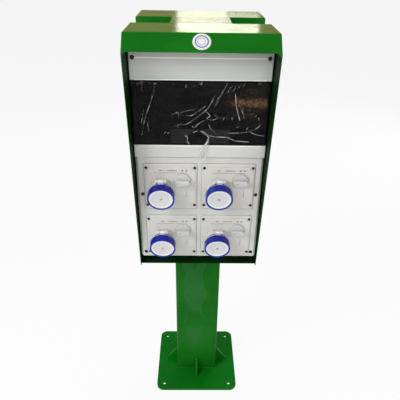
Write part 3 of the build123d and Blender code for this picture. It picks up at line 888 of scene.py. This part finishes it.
@dataclass
class Kit:
    """What every sub-assembly works from."""

    nodes: dict[str, Piece]
    joints: dict[str, dict]
    root: str = "pedestal"

    def dress(self, name: str, finish: Finish) -> None:
        """Give a CAD node's own surface its finish.

        Args:
            name: the node's name.
            finish: what it gets.
        """
        node, material = self.nodes[name], finish.material()
        if not node.material_slots:
            node.data.materials.append(material)
        for slot in node.material_slots:
            slot.material = material
        LOG.info("%s: %s", name, material.name)

    def joint_place(self, name: str) -> Vector:
        """Give a joint's pivot point."""
        return Vector(self.joints[name]["pos_m"])

    def joint_axis(self, name: str) -> Vector:
        """Give a joint's axis."""
        return Vector(self.joints[name]["axis"])


@dataclass
class Foot:
    """Base plate, post, cap and gussets, with the weld beads that join them."""

    kit: Kit
    bead_radius: float = 0.0032
    bead_pitch: float = 0.0036
    bead_dip: float = 0.82
    bead_facets: int = 8
    least_ripples: int = 4
    post_half_depth: float = 0.05
    gusset_thickness: float = 0.006
    gusset_toe: float = 0.005

    def build(self) -> None:
        """Dress the steel and lay the welds."""
        for name in ("base_plate", "gussets"):
            self.kit.dress(name, Palette.COAT)
        self.kit.dress("post_cap", Palette.CAP_COAT)
        self.kit.dress("post", Palette.POST_COAT)
        self._welds()

    def _bead(self, start: Vector, end: Vector) -> tuple[Shape, Matrix]:
        """Shape one rippled bead.

        Args:
            start: one end.
            end: the other end.

        Returns:
            The bead along Z, and where it goes.
        """
        run = end - start
        ripples = max(self.least_ripples, round(run.length / self.bead_pitch))
        shape = rod(self.bead_radius, run.length, self.bead_facets)
        lengthwise = [edge for edge in shape.edges if edge.calc_length() > run.length / 2]
        bmesh.ops.subdivide_edges(shape, edges=lengthwise, cuts=2 * ripples - 1)
        step = run.length / (2 * ripples)
        for vert in shape.verts:
            if round((vert.co.z + run.length / 2) / step) % 2 == 0:
                vert.co.x *= self.bead_dip
                vert.co.y *= self.bead_dip
        turn = run.to_track_quat("Z", "Y").to_matrix().to_4x4()
        return shape, Matrix.Translation((start + end) / 2) @ turn

    def _welds(self) -> None:
        """Lay beads round the post's foot and along both faces of each gusset."""
        low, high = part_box("post")
        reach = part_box("gussets")[1]
        top = reach.z - self.gusset_toe
        half = self.gusset_thickness / 2
        form = Form()
        for turn, face, side, limit in (
            (0.0, self.post_half_depth, high.x, reach.y),
            (math.pi / 2, high.x, self.post_half_depth, reach.x),
        ):
            for quarter in (turn, turn + math.pi):
                place = Matrix.Rotation(quarter, 4, "Z")
                for hand in (-1.0, 1.0):
                    corner = Vector((hand * half, -face, low.z))
                    ends = (
                        Vector((hand * (side - self.bead_radius), -face, low.z)),
                        Vector((hand * half, self.gusset_toe - limit, low.z)),
                        Vector((hand * half, -face, top)),
                    )
                    for end in ends:
                        bead, bead_place = self._bead(corner, end)
                        form.add(bead, place @ bead_place)
        form.piece("weld_beads", self.kit.root, Slot.GREEN_COAT, [Palette.COAT])


@dataclass
class Hood:
    """One folded canopy. The front one carries a blank badge on its fascia."""

    kit: Kit
    side: Side
    fascia_reach: float = 0.036
    fascia_drop: float = 0.035
    badge_share: float = 0.46
    badge_radius: float = 0.0205
    badge_thickness: float = 0.0009
    badge_bevel: Pair = (0.0006, 0.0005)
    badge_rings: tuple[Pair, ...] = ((0.0128, 0.0152), (0.0082, 0.0090))
    ring_height: float = 0.00012

    def build(self) -> None:
        """Dress the sheet, and fix the badge on the front."""
        self.kit.dress(f"{self.side.prefix}_hood", Palette.HOOD_COAT)
        if self.side is Side.FRONT:
            self._badge()

    def _badge(self) -> None:
        """Turn the badge: a white disc with two plain printed rings."""
        low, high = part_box("front_hood")
        slope = Vector((0.0, -self.fascia_reach, -self.fascia_drop))
        edge = Vector((0.0, low.y + self.fascia_reach, high.z))
        outward = Vector((0.0, -self.fascia_drop, self.fascia_reach))
        place = frame_at(edge + slope * self.badge_share, outward, self.side.right)
        top, radius = self.badge_thickness, self.badge_radius
        inward, down = self.badge_bevel
        disc = turned([(0.0, top), (radius - inward, top), (radius, top - down), (radius, 0.0), (0.0, 0.0)])
        form = Form().add(disc, place)
        for inner, outer in self.badge_rings:
            form.add(tube(inner, outer, top, top + self.ring_height), place, 1)
        form.piece("badge", self.kit.root, Slot.LID_PLASTIC, [Palette.BADGE, Palette.BLUE_INK])


@dataclass
class Enclosure:
    """Case, covers, breakers, smoked window and latch of one side."""

    kit: Kit
    side: Side

    def build(self) -> None:
        """Dress the mouldings."""
        for name, finish in (
            ("case", Palette.GREY),
            ("breaker_cover", Palette.COVER),
            ("socket_cover", Palette.GREY),
            ("breaker_row", Palette.BREAKER),
            ("window", Palette.PANE),
            ("window_latch", Palette.LATCH),
        ):
            self.kit.dress(f"{self.side.prefix}_{name}", finish)


@dataclass
class Film:
    """Clear film left on the front pane: rippled, creased, and torn away round the latch. Its creases and the
    torn strip's edges are whitish, partly the film's own whitening and partly painted glints.

    Places on it are shares of the pane, across from its left and up from its foot. A crumb has its angle
    third, and a point of the strip how far out it stands. A wave of the tear is its count round and its
    depth.
    """

    lift: float = 0.0005
    ripple: float = 0.0004
    ripple_ways: tuple[Pair, ...] = ((61.0, 17.0), (-29.0, 43.0), (131.0, 97.0))
    columns: int = 90
    rows: int = 42
    width: float = 0.330
    height: float = 0.146
    foot: float = 0.003
    thickness: float = 0.0001
    pressed_above: float = 0.136
    pressed_share: float = 0.2
    tear_place: Pair = (0.482, 0.10)
    tear_waves: tuple[Pair, ...] = ((5.0, 0.12), (11.0, 0.08))
    crease_width: float = 0.0017
    crease_crown: float = 0.0007
    crease_steps: int = 8
    uneven: tuple[float, ...] = (1.0, 0.55, 1.35, 0.7, 1.1, 0.45)
    crumb_length: float = 0.0075
    crumb_share: float = 0.6
    crumb_steps: int = 6
    strip_width: float = 0.010
    strip_steps: int = 40
    edge_width: float = 0.0026
    edge_steps: int = 30
    edge_twist: float = 0.6
    creases: tuple[tuple[Pair, ...], ...] = (
        ((0.18, 0.98), (0.146, 0.73), (0.093, 0.43), (0.061, 0.16)),
        ((0.089, 0.59), (0.075, 0.47), (0.062, 0.34)),
        ((0.116, 0.43), (0.11, 0.32), (0.119, 0.21)),
        ((0.082, 0.97), (0.08, 0.9), (0.086, 0.81)),
        ((0.69, 0.98), (0.66, 0.86), (0.62, 0.68), (0.594, 0.59)),
        ((0.65, 0.84), (0.625, 0.75), (0.597, 0.63)),
        ((0.60, 0.79), (0.577, 0.68), (0.535, 0.56), (0.403, 0.35), (0.343, 0.34), (0.298, 0.29)),
        ((0.541, 0.64), (0.491, 0.56), (0.432, 0.48), (0.388, 0.49)),
        ((0.284, 0.48), (0.332, 0.53), (0.34, 0.46)),
        ((0.345, 0.49), (0.373, 0.54), (0.461, 0.58)),
        ((0.729, 0.95), (0.71, 0.9), (0.694, 0.84)),
        ((0.76, 0.965), (0.745, 0.91), (0.726, 0.85)),
        ((0.787, 0.965), (0.775, 0.93), (0.76, 0.89)),
        ((0.811, 0.98), (0.805, 0.95), (0.799, 0.925)),
        ((0.784, 0.63), (0.81, 0.53), (0.824, 0.43)),
        ((0.561, 0.34), (0.585, 0.26), (0.625, 0.19)),
        ((0.64, 0.21), (0.753, 0.205), (0.852, 0.225), (0.924, 0.29), (0.951, 0.37)),
        ((0.36, 0.36), (0.335, 0.31), (0.33, 0.27)),
        ((0.54, 0.55), (0.57, 0.48), (0.55, 0.44), (0.58, 0.41)),
        ((0.60, 0.50), (0.625, 0.45), (0.60, 0.42), (0.57, 0.41)),
        ((0.46, 0.31), (0.50, 0.37), (0.54, 0.42)),
    )
    # Creases whose whiter film paints the brightest glints.
    bright_creases: tuple[tuple[Pair, ...], ...] = (
        ((0.749, 0.82), (0.757, 0.66), (0.779, 0.49), (0.792, 0.41)),
        ((0.514, 0.24), (0.564, 0.16), (0.618, 0.14), (0.702, 0.135), (0.766, 0.075), (0.874, 0.06)),
        ((0.875, 0.22), (0.93, 0.175), (0.98, 0.16)),
        ((0.446, 0.205), (0.462, 0.222), (0.479, 0.236)),
        ((0.500, 0.238), (0.522, 0.205), (0.548, 0.162), (0.566, 0.130)),
        ((0.398, 0.165), (0.405, 0.11), (0.401, 0.065), (0.420, 0.01)),
    )
    crumbs: tuple[Triple, ...] = (
        (0.012, 0.965, 0.9), (0.055, 0.955, 0.2), (0.145, 0.968, 0.1), (0.175, 0.960, 0.2),
        (0.305, 0.945, 1.7), (0.395, 0.925, 1.5), (0.452, 0.935, 1.4), (0.505, 0.965, 1.1),
        (0.650, 0.450, 0.4), (0.672, 0.435, 1.2), (0.700, 0.450, 2.4), (0.734, 0.438, 1.6),
        (0.905, 0.480, 0.7), (0.930, 0.440, 1.9), (0.780, 0.305, 0.3), (0.850, 0.280, 1.0),
        (0.470, 0.305, 0.6), (0.445, 0.300, 2.2), (0.238, 0.205, 0.9), (0.262, 0.200, 0.4),
        (0.370, 0.205, 2.0), (0.390, 0.150, 2.3),
    )
    strip: tuple[Triple, ...] = (
        (0.566, 0.13, 0.001), (0.552, 0.04, 0.004), (0.530, -0.03, 0.005), (0.523, -0.11, 0.004),
        (0.522, -0.18, 0.005), (0.518, -0.25, 0.006),
    )
    strip_edges: tuple[tuple[Triple, ...], ...] = (
        (
            (0.566, 0.14, 0.001), (0.550, 0.046, 0.005), (0.527, -0.008, 0.006), (0.510, -0.06, 0.006),
            (0.503, -0.115, 0.006), (0.503, -0.18, 0.006), (0.518, -0.25, 0.006),
        ),
        ((0.556, 0.02, 0.003), (0.543, -0.04, 0.005), (0.545, -0.115, 0.004)),
        ((0.541, -0.13, 0.005), (0.543, -0.19, 0.006), (0.519, -0.25, 0.006)),
    )
    _frame: Matrix = field(init=False)
    _size: Vector = field(init=False)

    def build(self) -> None:
        """Lay the film, raise its creases and hang the torn strip."""
        low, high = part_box("front_window")
        self._frame = frame_at(low, Side.FRONT.outward, Side.FRONT.right)
        self._size = Vector((high.x - low.x, high.z - low.z))
        film = self._film("clear_film", Form().add(self._pressed(self._sheet()), self._frame), [Palette.FILM])
        folds = Form()
        for line in self.creases:
            folds.add(self._pressed(self._crease(line)), self._frame)
        for line in self.bright_creases:
            for step, ends in enumerate(zip(line, line[1:])):
                share = self.uneven[step % len(self.uneven)]
                folds.add(self._pressed(self._crease(ends, share)), self._frame, 1 + step % 2)
        for step, crumb in enumerate(self.crumbs):
            folds.add(self._pressed(self._crumb(*crumb)), self._frame, step % 2)
        creases = self._film(
            "film_creases", folds, [Palette.CREASE, Palette.BRIGHT_CREASE, Palette.WHITE_FILM]
        )
        path = [self._on_pane(*point) for point in self.strip]
        hanging = Form()
        hanging.add(ribbon(path, self.strip_width, self.crease_crown, self.strip_steps), self._frame)
        for line in self.strip_edges:
            path = [self._on_pane(*point) for point in line]
            edge = ribbon(path, self.edge_width, self.crease_crown, self.edge_steps, self.edge_twist)
            hanging.add(edge, self._frame, 1)
        strip = self._film("film_strip", hanging, [Palette.CREASE, Palette.WHITE_FILM])

    def _on_pane(self, across: float, up: float, out: float) -> Vector:
        """Give the point at these shares of the pane, that far out."""
        return Vector((across * self._size.x, up * self._size.y, out))

    def _pressed(self, shape: Shape) -> Shape:
        """Press the film down near the hinge, where the raised window passes under the band."""
        for vert in shape.verts:
            if vert.co.y > self.pressed_above:
                vert.co.z *= self.pressed_share
        return shape

    def _film(self, name: str, form: Form, finishes: list[Finish]) -> Piece:
        """End a form as a piece of the film, with its thickness.

        Args:
            name: the piece's name.
            form: its shapes.
            finishes: its finishes, in the order of their numbers.

        Returns:
            The piece.
        """
        piece = form.piece(name, "front_window", Slot.SMOKED_PLASTIC, finishes)
        wall = piece.modifiers.new("thickness", "SOLIDIFY")
        wall.thickness = self.thickness
        wall.offset = 0.0
        return piece

    def _sheet(self) -> Shape:
        """Ripple a sheet and tear it open round the latch.

        Returns:
            The sheet.
        """
        shape = bmesh.new()
        bmesh.ops.create_grid(shape, x_segments=self.columns, y_segments=self.rows, size=0.5)
        middle = self._on_pane(0.5, 0.0, 0.0)
        tear = self._on_pane(*self.tear_place, 0.0)
        for vert in shape.verts:
            right, up = vert.co.x * self.width, (vert.co.y + 0.5) * self.height + self.foot
            waves = [math.sin(run * right + climb * up) for run, climb in self.ripple_ways]
            vert.co = (middle.x + right, up, self.lift + self.ripple * (1 + sum(waves) / len(waves)))
        torn = []
        for face in shape.faces:
            offset = face.calc_center_median() - tear
            angle = math.atan2(offset.y, offset.x)
            ragged = 1 + sum(depth * math.sin(count * angle) for count, depth in self.tear_waves)
            if (offset.x / TEAR_HALF[0]) ** 2 + (offset.y / TEAR_HALF[1]) ** 2 < ragged**2:
                torn.append(face)
        bmesh.ops.delete(shape, geom=torn, context="FACES")
        return shape

    def _crease(self, line: tuple[Pair, ...], share: float = 1.0) -> Shape:
        """Raise one crease, at this share of the usual width."""
        path = [self._on_pane(across, up, self.lift) for across, up in line]
        return ribbon(path, self.crease_width * share, self.crease_crown, self.crease_steps * len(line))

    def _crumb(self, across: float, up: float, angle: float) -> Shape:
        """Raise one short crumple.

        Args:
            across: its place across the pane.
            up: its place up the pane.
            angle: the way that it runs, in radians from the right.

        Returns:
            The crumple.
        """
        middle = self._on_pane(across, up, self.lift)
        reach = Vector((math.cos(angle), math.sin(angle), 0.0)) * self.crumb_length / 2
        width = self.crease_width * self.crumb_share
        return ribbon([middle - reach, middle + reach], width, self.crease_crown, self.crumb_steps)


@dataclass
class SocketUnit:
    """One switched socket: ring, lid, contacts and knob, and the print on its flange.

    Stations run along the socket's axis, from the locking ring's rear edge outward. A printed bar is its
    place to the right of the flange's middle and above it, its width and its height. A dash lacks the first
    of these. pointer_length and pointer_place are shares of the grip's length, grip_end of its width, and
    pip_top of the pip's radius.
    """

    kit: Kit
    side: Side
    number: int
    ring_radius: float = 0.03675
    ring_bore: float = 0.0330
    ring_length: float = 0.021
    ring_round: float = 0.0014
    groove_station: float = 0.0150
    groove_width: float = 0.0012
    groove_depth: float = 0.0005
    lid_radius: float = 0.0326
    lid_bore: float = 0.0300
    lid_face: float = 0.0194
    lid_back: float = 0.0144
    lid_skirt: float = -0.0072
    lid_round: float = 0.0004
    rim_width: float = 0.0055
    rim_rise: float = 0.0010
    pip_radius: float = 0.0034
    pip_top: float = 0.7
    pip_height: float = 0.0007
    pip_steps: int = 24
    seal_inner: float = 0.0232
    seal_outer: float = 0.0282
    seal_thickness: float = 0.0005
    hinge_rise: float = 0.0430
    hinge_station: float = -0.0047
    knuckle_radius: float = 0.0045
    knuckle_round: float = 0.0006
    arm_width: float = 0.016
    arm_thickness: float = 0.005
    arm_round: float = 0.0008
    pin_radius: float = 0.002
    pin_round: float = 0.0003
    pin_length: float = 0.030
    contact_angles: Triple = (-90.0, 30.0, 150.0)
    contact_circle: float = 0.0095
    contact_face: float = -0.0002
    sleeve_outer: float = 0.00255
    sleeve_inner: float = 0.0017
    sleeve_sink: float = 0.0012
    sleeve_length: float = 0.0066
    sleeve_steps: int = 20
    knob_gap: float = 0.0005
    knob_radius: float = 0.022
    knob_skirt: float = 0.006
    knob_taper: float = 0.00084
    knob_round: float = 0.0010
    grip_length: float = 0.039
    grip_width: float = 0.015
    grip_height: float = 0.013
    grip_round: float = 0.002
    grip_end: float = 0.49
    grip_facets: int = 8
    pointer_length: float = 0.3
    pointer_place: float = 0.28
    pointer_width: float = 0.0012
    pointer_thickness: float = 0.0003
    pointer_round: float = 0.0001
    shaft_radius: float = 0.005
    shaft_length: float = 0.0195
    ink_height: float = 0.00008
    bars: tuple[tuple[float, ...], ...] = (
        (-0.026, 0.049, 0.008, 0.0022),
        (0.004, 0.049, 0.026, 0.0022),
        (0.0435, -0.020, 0.0013, 0.020),
    )
    dark_bars: tuple[tuple[float, ...], ...] = (
        (0.032, 0.049, 0.0046, 0.0034),
        (0.043, 0.049, 0.0040, 0.0034),
    )
    dash: Triple = (0.042, 0.0046, 0.0014)
    dash_pitch: float = 0.0068
    dash_count: int = 13

    @property
    def _name(self) -> str:
        """The pattern of this unit's node, body and joint names."""
        return f"{self.side.prefix}_{{}}_{self.number}"

    @property
    def _socket_frame(self) -> Matrix:
        """The socket's own frame at the ring's rear edge."""
        joint = self._name.format("ring_twist")
        return frame_at(self.kit.joint_place(joint), self.kit.joint_axis(joint), self.side.right)

    @property
    def _knob_frame(self) -> Matrix:
        """The knob's own frame on the flange's field."""
        joint = self._name.format("knob_turn")
        return frame_at(self.kit.joint_place(joint), self.side.outward, self.side.right)

    def build(self) -> None:
        """Build and dress the unit."""
        self.kit.dress(self._name.format("flange"), Palette.FLANGE)
        self.kit.dress(self._name.format("socket_body"), Palette.BLUE)
        self._ring()
        self._lid()
        self._contacts()
        self._knob()
        self._print()

    def _ring(self) -> None:
        """Turn the locking ring, with a shallow groove before its front edge."""
        front, rear = self.groove_station + self.groove_width, self.groove_station
        groove = self.ring_radius - self.groove_depth
        bore, radius, length = self.ring_bore, self.ring_radius, self.ring_length
        sunk = [(groove, rear + self.groove_depth), (groove, front - self.groove_depth)]
        outside = [(radius, 0.0), (radius, rear), *sunk, (radius, front), (radius, length)]
        section = [(bore, 0.0), *outside, (bore, length)]
        ring = soften(turned(section, closed=True), self.ring_round, segments=3)
        name = self._name.format("lock_ring")
        form = Form().add(ring, self._socket_frame)
        form.piece(f"turned_{name}", name, Slot.BLUE_PLASTIC, [Palette.BLUE], (name,))

    def _lid(self) -> None:
        """Turn the lid with its rim, hinge arm, pin, pip and seal; the rim's white is a painted highlight on
        its rounded edge, and the hinge is white.
        """
        frame = self._socket_frame
        radius, bore, flat = self.lid_radius, self.lid_bore, self.lid_face
        rim_foot, crown = radius - self.rim_width, flat + self.rim_rise
        cap = [(0.0, flat), (rim_foot, flat)]
        rim = [(rim_foot + self.rim_rise, crown), (radius - self.rim_rise, crown), (radius, flat)]
        skirt = [(radius, self.lid_skirt), (bore, self.lid_skirt)]
        back = [(bore, self.lid_back), (0.0, self.lid_back)]
        form = Form().add(soften(turned(cap + rim + skirt + back), self.lid_round), frame)
        to_lid = frame.inverted()
        # The rim's faces get the white finish, a painted highlight on the rounded edge.
        for face in form.bm.faces:
            middle = to_lid @ face.calc_center_median()
            on_rim = middle.xy.length > rim_foot - self.lid_round
            if on_rim and middle.z > flat - 2 * self.lid_round:
                face.material_index = 1
        arm_height = self.hinge_rise - bore
        arm = soften(block(self.arm_width, arm_height, self.arm_thickness), self.arm_round)
        arm_place = moved(0.0, bore + arm_height / 2, self.hinge_station)
        hinge = frame @ moved(0.0, self.hinge_rise, self.hinge_station) @ ACROSS
        form.add(arm, frame @ arm_place, 1)
        form.add(soften(rod(self.knuckle_radius, self.arm_width), self.knuckle_round), hinge, 1)
        form.add(soften(rod(self.pin_radius, self.pin_length), self.pin_round), hinge, 1)
        name = self._name.format("lid")
        form.piece(f"turned_{name}", name, Slot.LID_PLASTIC, [Palette.LID, Palette.LID_RIM], (name,))
        top = flat + self.pip_height
        side = [(self.pip_radius * self.pip_top, top), (self.pip_radius, flat)]
        pip = turned([(0.0, top), *side, (0.0, flat)], self.pip_steps)
        Form().add(pip, frame).piece(f"pip_{name}", name, Slot.LID_PLASTIC, [Palette.PIP])
        seal = tube(self.seal_inner, self.seal_outer, self.lid_back - self.seal_thickness, self.lid_back)
        Form().add(seal, frame).piece(f"seal_{name}", name, Slot.SCREW_BLACK, [Palette.RUBBER])

    def _contacts(self) -> None:
        """Line the three contact holes with brass sleeves."""
        top = self.contact_face - self.sleeve_sink
        low = top - self.sleeve_length
        form = Form()
        for angle in self.contact_angles:
            turn = Matrix.Rotation(math.radians(angle), 4, "Z")
            sleeve = tube(self.sleeve_inner, self.sleeve_outer, low, top, self.sleeve_steps)
            form.add(sleeve, self._socket_frame @ turn @ moved(self.contact_circle))
        name = self._name.format("contacts")
        form.piece(name, self.kit.root, Slot.SCREW_BLACK, [Palette.BRASS])

    def _knob(self) -> None:
        """Shape the knob: a tapered skirt, a round-ended grip with a pointer line, and the shaft."""
        frame = self._knob_frame
        low, top = self.knob_gap, self.knob_gap + self.knob_skirt
        narrow = self.knob_radius - self.knob_taper
        skirt = turned([(0.0, low), (self.knob_radius, low), (narrow, top), (0.0, top)])
        grip = block(self.grip_length, self.grip_width, self.grip_height)
        soften(grip, self.grip_width * self.grip_end, self.grip_facets, upright=True)
        soften(grip, self.grip_round, segments=3)
        shaft = rod(self.shaft_radius, self.shaft_length)
        pointer = block(self.grip_length * self.pointer_length, self.pointer_width, self.pointer_thickness)
        pointer_place = moved(-self.grip_length * self.pointer_place, 0.0, top + self.grip_height)
        form = Form()
        form.add(soften(skirt, self.knob_round, segments=3), frame)
        form.add(grip, frame @ moved(out=top + self.grip_height / 2))
        form.add(shaft, frame @ moved(out=low - self.shaft_length / 2))
        form.add(soften(pointer, self.pointer_round), frame @ pointer_place, 1)
        name = self._name.format("knob")
        form.piece(f"moulded_{name}", name, Slot.KNOB_PLASTIC, [Palette.KNOB, Palette.INK], (name,))

    def _print(self) -> None:
        """Lay plain bars and dashes where the flange is printed, and the mark beside the socket."""
        frame = self._knob_frame @ moved(-KNOB_OFFSET.x, -KNOB_OFFSET.y)
        start = -self.dash_pitch * (self.dash_count - 1) / 2
        dashes = [(start + step * self.dash_pitch, *self.dash) for step in range(self.dash_count)]
        form = Form()
        for finish, bars in enumerate(((*self.bars, *dashes), self.dark_bars)):
            for right, up, width, height in bars:
                form.add(block(width, height, 2 * self.ink_height), frame @ moved(right, up), finish)
        name = self._name.format("print")
        form.piece(name, self.kit.root, Slot.FLANGE_PLASTIC, [Palette.INK, Palette.DARK_INK])


@dataclass
class ScrewSet:
    """The black cover and flange screws of both sides, in one piece."""

    kit: Kit
    head_back: float = -0.0018
    head_top: float = 0.0008
    head_bevel: Pair = (0.0007, 0.0005)
    drive_share: float = 0.42
    drive_slant: float = 0.0002
    drive_floor: float = 0.0009
    steps: int = 18
    shank_radius: float = 0.002
    flange_head: float = 0.004
    cover_head: float = 0.005
    flange_shank: float = 0.005
    cover_shank: float = 0.026
    flange_span: Vector = field(default_factory=lambda: Vector((0.065, 0.056)))
    field_rise: float = 0.0015
    band_inset: float = 0.0095
    band_drop: float = 0.015
    side_inset: float = 0.0145
    side_lifts: Pair = (0.017, 0.209)

    def _screw(self, radius: float, shank: float) -> Shape:
        """Turn one screw with a sunk drive.

        Args:
            radius: its head's radius.
            shank: its shank's length.

        Returns:
            The screw, along Z, with its seat face at 0.
        """
        drive, floor = self.drive_share * radius, self.head_back + self.drive_floor
        inward, down = self.head_bevel
        tip = self.head_back - shank
        recess = [(0.0, floor), (drive, floor), (drive + self.drive_slant, self.head_top)]
        head = [(radius - inward, self.head_top), (radius, self.head_top - down), (radius, self.head_back)]
        stem = [(self.shank_radius, self.head_back), (self.shank_radius, tip), (0.0, tip)]
        return turned(recess + head + stem, self.steps)

    def build(self) -> None:
        """Drive every screw."""
        form = Form()
        outward, right = Side.FRONT.outward, Side.FRONT.right
        places: list[tuple[Vector, float, float]] = []
        for number in SOCKETS:
            centre = self.kit.joint_place(f"front_knob_turn_{number}")
            centre += Vector((-KNOB_OFFSET.x, self.field_rise, -KNOB_OFFSET.y))
            for turn_x in (-1.0, 1.0):
                for turn_z in (-1.0, 1.0):
                    corner = Vector((turn_x * self.flange_span.x, 0.0, turn_z * self.flange_span.y))
                    places.append((centre + corner, self.flange_head, self.flange_shank))
        low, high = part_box("front_breaker_cover")
        for x in (low.x + self.band_inset, high.x - self.band_inset):
            places.append((Vector((x, low.y, high.z - self.band_drop)), self.cover_head, self.cover_shank))
        low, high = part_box("front_socket_cover")
        for x in (low.x + self.side_inset, high.x - self.side_inset):
            for lift in self.side_lifts:
                places.append((Vector((x, low.y, low.z + lift)), self.cover_head, self.cover_shank))
        for side in Side:
            for place, radius, shank in places:
                form.add(self._screw(radius, shank), side.turn @ frame_at(place, outward, right))
        form.piece("turned_screws", self.kit.root, Slot.SCREW_BLACK, [Palette.BLACK], ("cover_screws",))


@dataclass(frozen=True)
class Softbox:
    """One rectangular lamp, with bright_watts to a square metre at a brightness of 1.

    One that is only mirrored lights nothing itself.
    """

    name: str
    place: Triple
    width: float
    height: float
    brightness: float
    target: Triple = (0.0, 0.0, 0.8)
    colour: Triple = (1.0, 1.0, 1.0)
    only_mirrored: bool = False
    bright_watts: float = 4.0

    def build(self) -> None:
        """Hang the lamp."""
        lamp = bpy.data.lights.new(self.name, "AREA")
        lamp.shape = "RECTANGLE"
        lamp.size, lamp.size_y = self.width, self.height
        lamp.energy = self.bright_watts * self.brightness * self.width * self.height
        lamp.color = self.colour
        stand = bpy.data.objects.new(self.name, lamp)
        aim = (Vector(self.target) - Vector(self.place)).to_track_quat("-Z", "Y")
        stand.matrix_world = Matrix.Translation(self.place) @ aim.to_matrix().to_4x4()
        stand.visible_camera = False
        stand.visible_diffuse = not self.only_mirrored
        bpy.context.scene.collection.objects.link(stand)


@dataclass
class Studio:
    """Pale floor, soft lamps and the camera."""

    floor_half: float = 40.0
    surround: float = 0.14
    surround_colour: Colour = rgb(1.0, 0.99, 0.97)
    camera_place: Triple = (-0.01573, -1.25321, 1.41011)
    camera_pitch: float = 32.1
    camera_yaw: float = 1.01
    camera_roll: float = -0.9
    focal_pixels: float = 444.26
    picture_pixels: float = 400.0
    axis_below_middle: float = 29.69
    sensor: float = 36.0
    far_end: float = 200.0
    lamps: tuple[Softbox, ...] = (
        Softbox("key_lamp", (-2.3, -1.9, 2.7), 1.6, 1.6, 6.8),
        Softbox("top_lamp", (0.1, 0.9, 3.4), 2.0, 2.0, 1.7),
        Softbox("fill_lamp", (2.6, -2.2, 1.6), 1.4, 1.4, 1.6),
        Softbox("front_lamp", (0.2, -3.4, 2.3), 3.0, 1.6, 2.2),
        Softbox("rear_lamp", (2.3, 2.7, 2.0), 1.8, 1.8, 3.4),
        Softbox(
            "high_strip", (0.138, 2.0, 1.585), 0.55, 0.12, 4.0, (0.0, -0.2, 1.26), (1.0, 0.98, 0.86), True
        ),
        Softbox(
            "low_strip", (0.035, 2.0, 1.455), 0.32, 0.05, 3.0, (0.0, 0.1, 1.26), (1.0, 0.97, 0.78), True
        ),
        Softbox("warm_lamp", (0.0, 3.2, 1.75), 5.0, 0.7, 0.22, (0.0, -0.2, 1.26), (1.0, 0.66, 0.05), True),
        Softbox(
            "amber_lamp", (0.44, -2.5, 0.42), 0.34, 0.025, 26.0, (0.05, -0.2, 1.09), (1.0, 0.6, 0.28), True
        ),
    )

    def build(self) -> None:
        """Set up the stage."""
        bpy.context.scene.view_settings.view_transform = "Standard"
        self._floor()
        self._world()
        for lamp in self.lamps:
            lamp.build()
        self._camera()

    def _floor(self) -> None:
        """Lay the floor."""
        shape = bmesh.new()
        bmesh.ops.create_grid(shape, x_segments=1, y_segments=1, size=self.floor_half)
        mesh = bpy.data.meshes.new("floor")
        shape.to_mesh(mesh)
        shape.free()
        mesh.materials.append(StudioFloor().material())
        floor = bpy.data.objects.new("floor", mesh)
        bpy.context.scene.collection.objects.link(floor)

    def _world(self) -> None:
        """Surround the object with even grey light."""
        world = bpy.data.worlds.new("studio")
        world.use_nodes = True
        backdrop = world.node_tree.nodes["Background"]
        backdrop.inputs["Color"].default_value = self.surround_colour
        backdrop.inputs["Strength"].default_value = self.surround
        bpy.context.scene.world = world

    def _camera(self) -> None:
        """Stand the camera where the picture was taken from."""
        lens = bpy.data.cameras.new("camera")
        lens.sensor_width = self.sensor
        lens.lens = self.focal_pixels * self.sensor / self.picture_pixels
        lens.shift_y = self.axis_below_middle / self.picture_pixels
        lens.clip_end = self.far_end
        camera = bpy.data.objects.new("camera", lens)
        turn = (
            Matrix.Rotation(math.radians(-self.camera_yaw), 4, "Z")
            @ Matrix.Rotation(math.radians(90.0 - self.camera_pitch), 4, "X")
            @ Matrix.Rotation(math.radians(-self.camera_roll), 4, "Z")
        )
        camera.matrix_world = Matrix.Translation(self.camera_place) @ turn
        bpy.context.scene.collection.objects.link(camera)
        bpy.context.scene.camera = camera


def main() -> None:
    """Build the pedestal's looks round its frame."""
    logging.basicConfig(level=logging.INFO, format="%(name)s %(message)s")
    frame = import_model()
    kit = Kit(frame["nodes"], {joint["name"]: joint for joint in frame["joints"]})
    Studio().build()
    Foot(kit).build()
    for side in Side:
        Hood(kit, side).build()
        Enclosure(kit, side).build()
        for number in SOCKETS:
            SocketUnit(kit, side, number).build()
    kit.dress("contact_inserts", Palette.BLUE)
    Film().build()
    ScrewSet(kit).build()


if __name__ == "__main__":
    main()
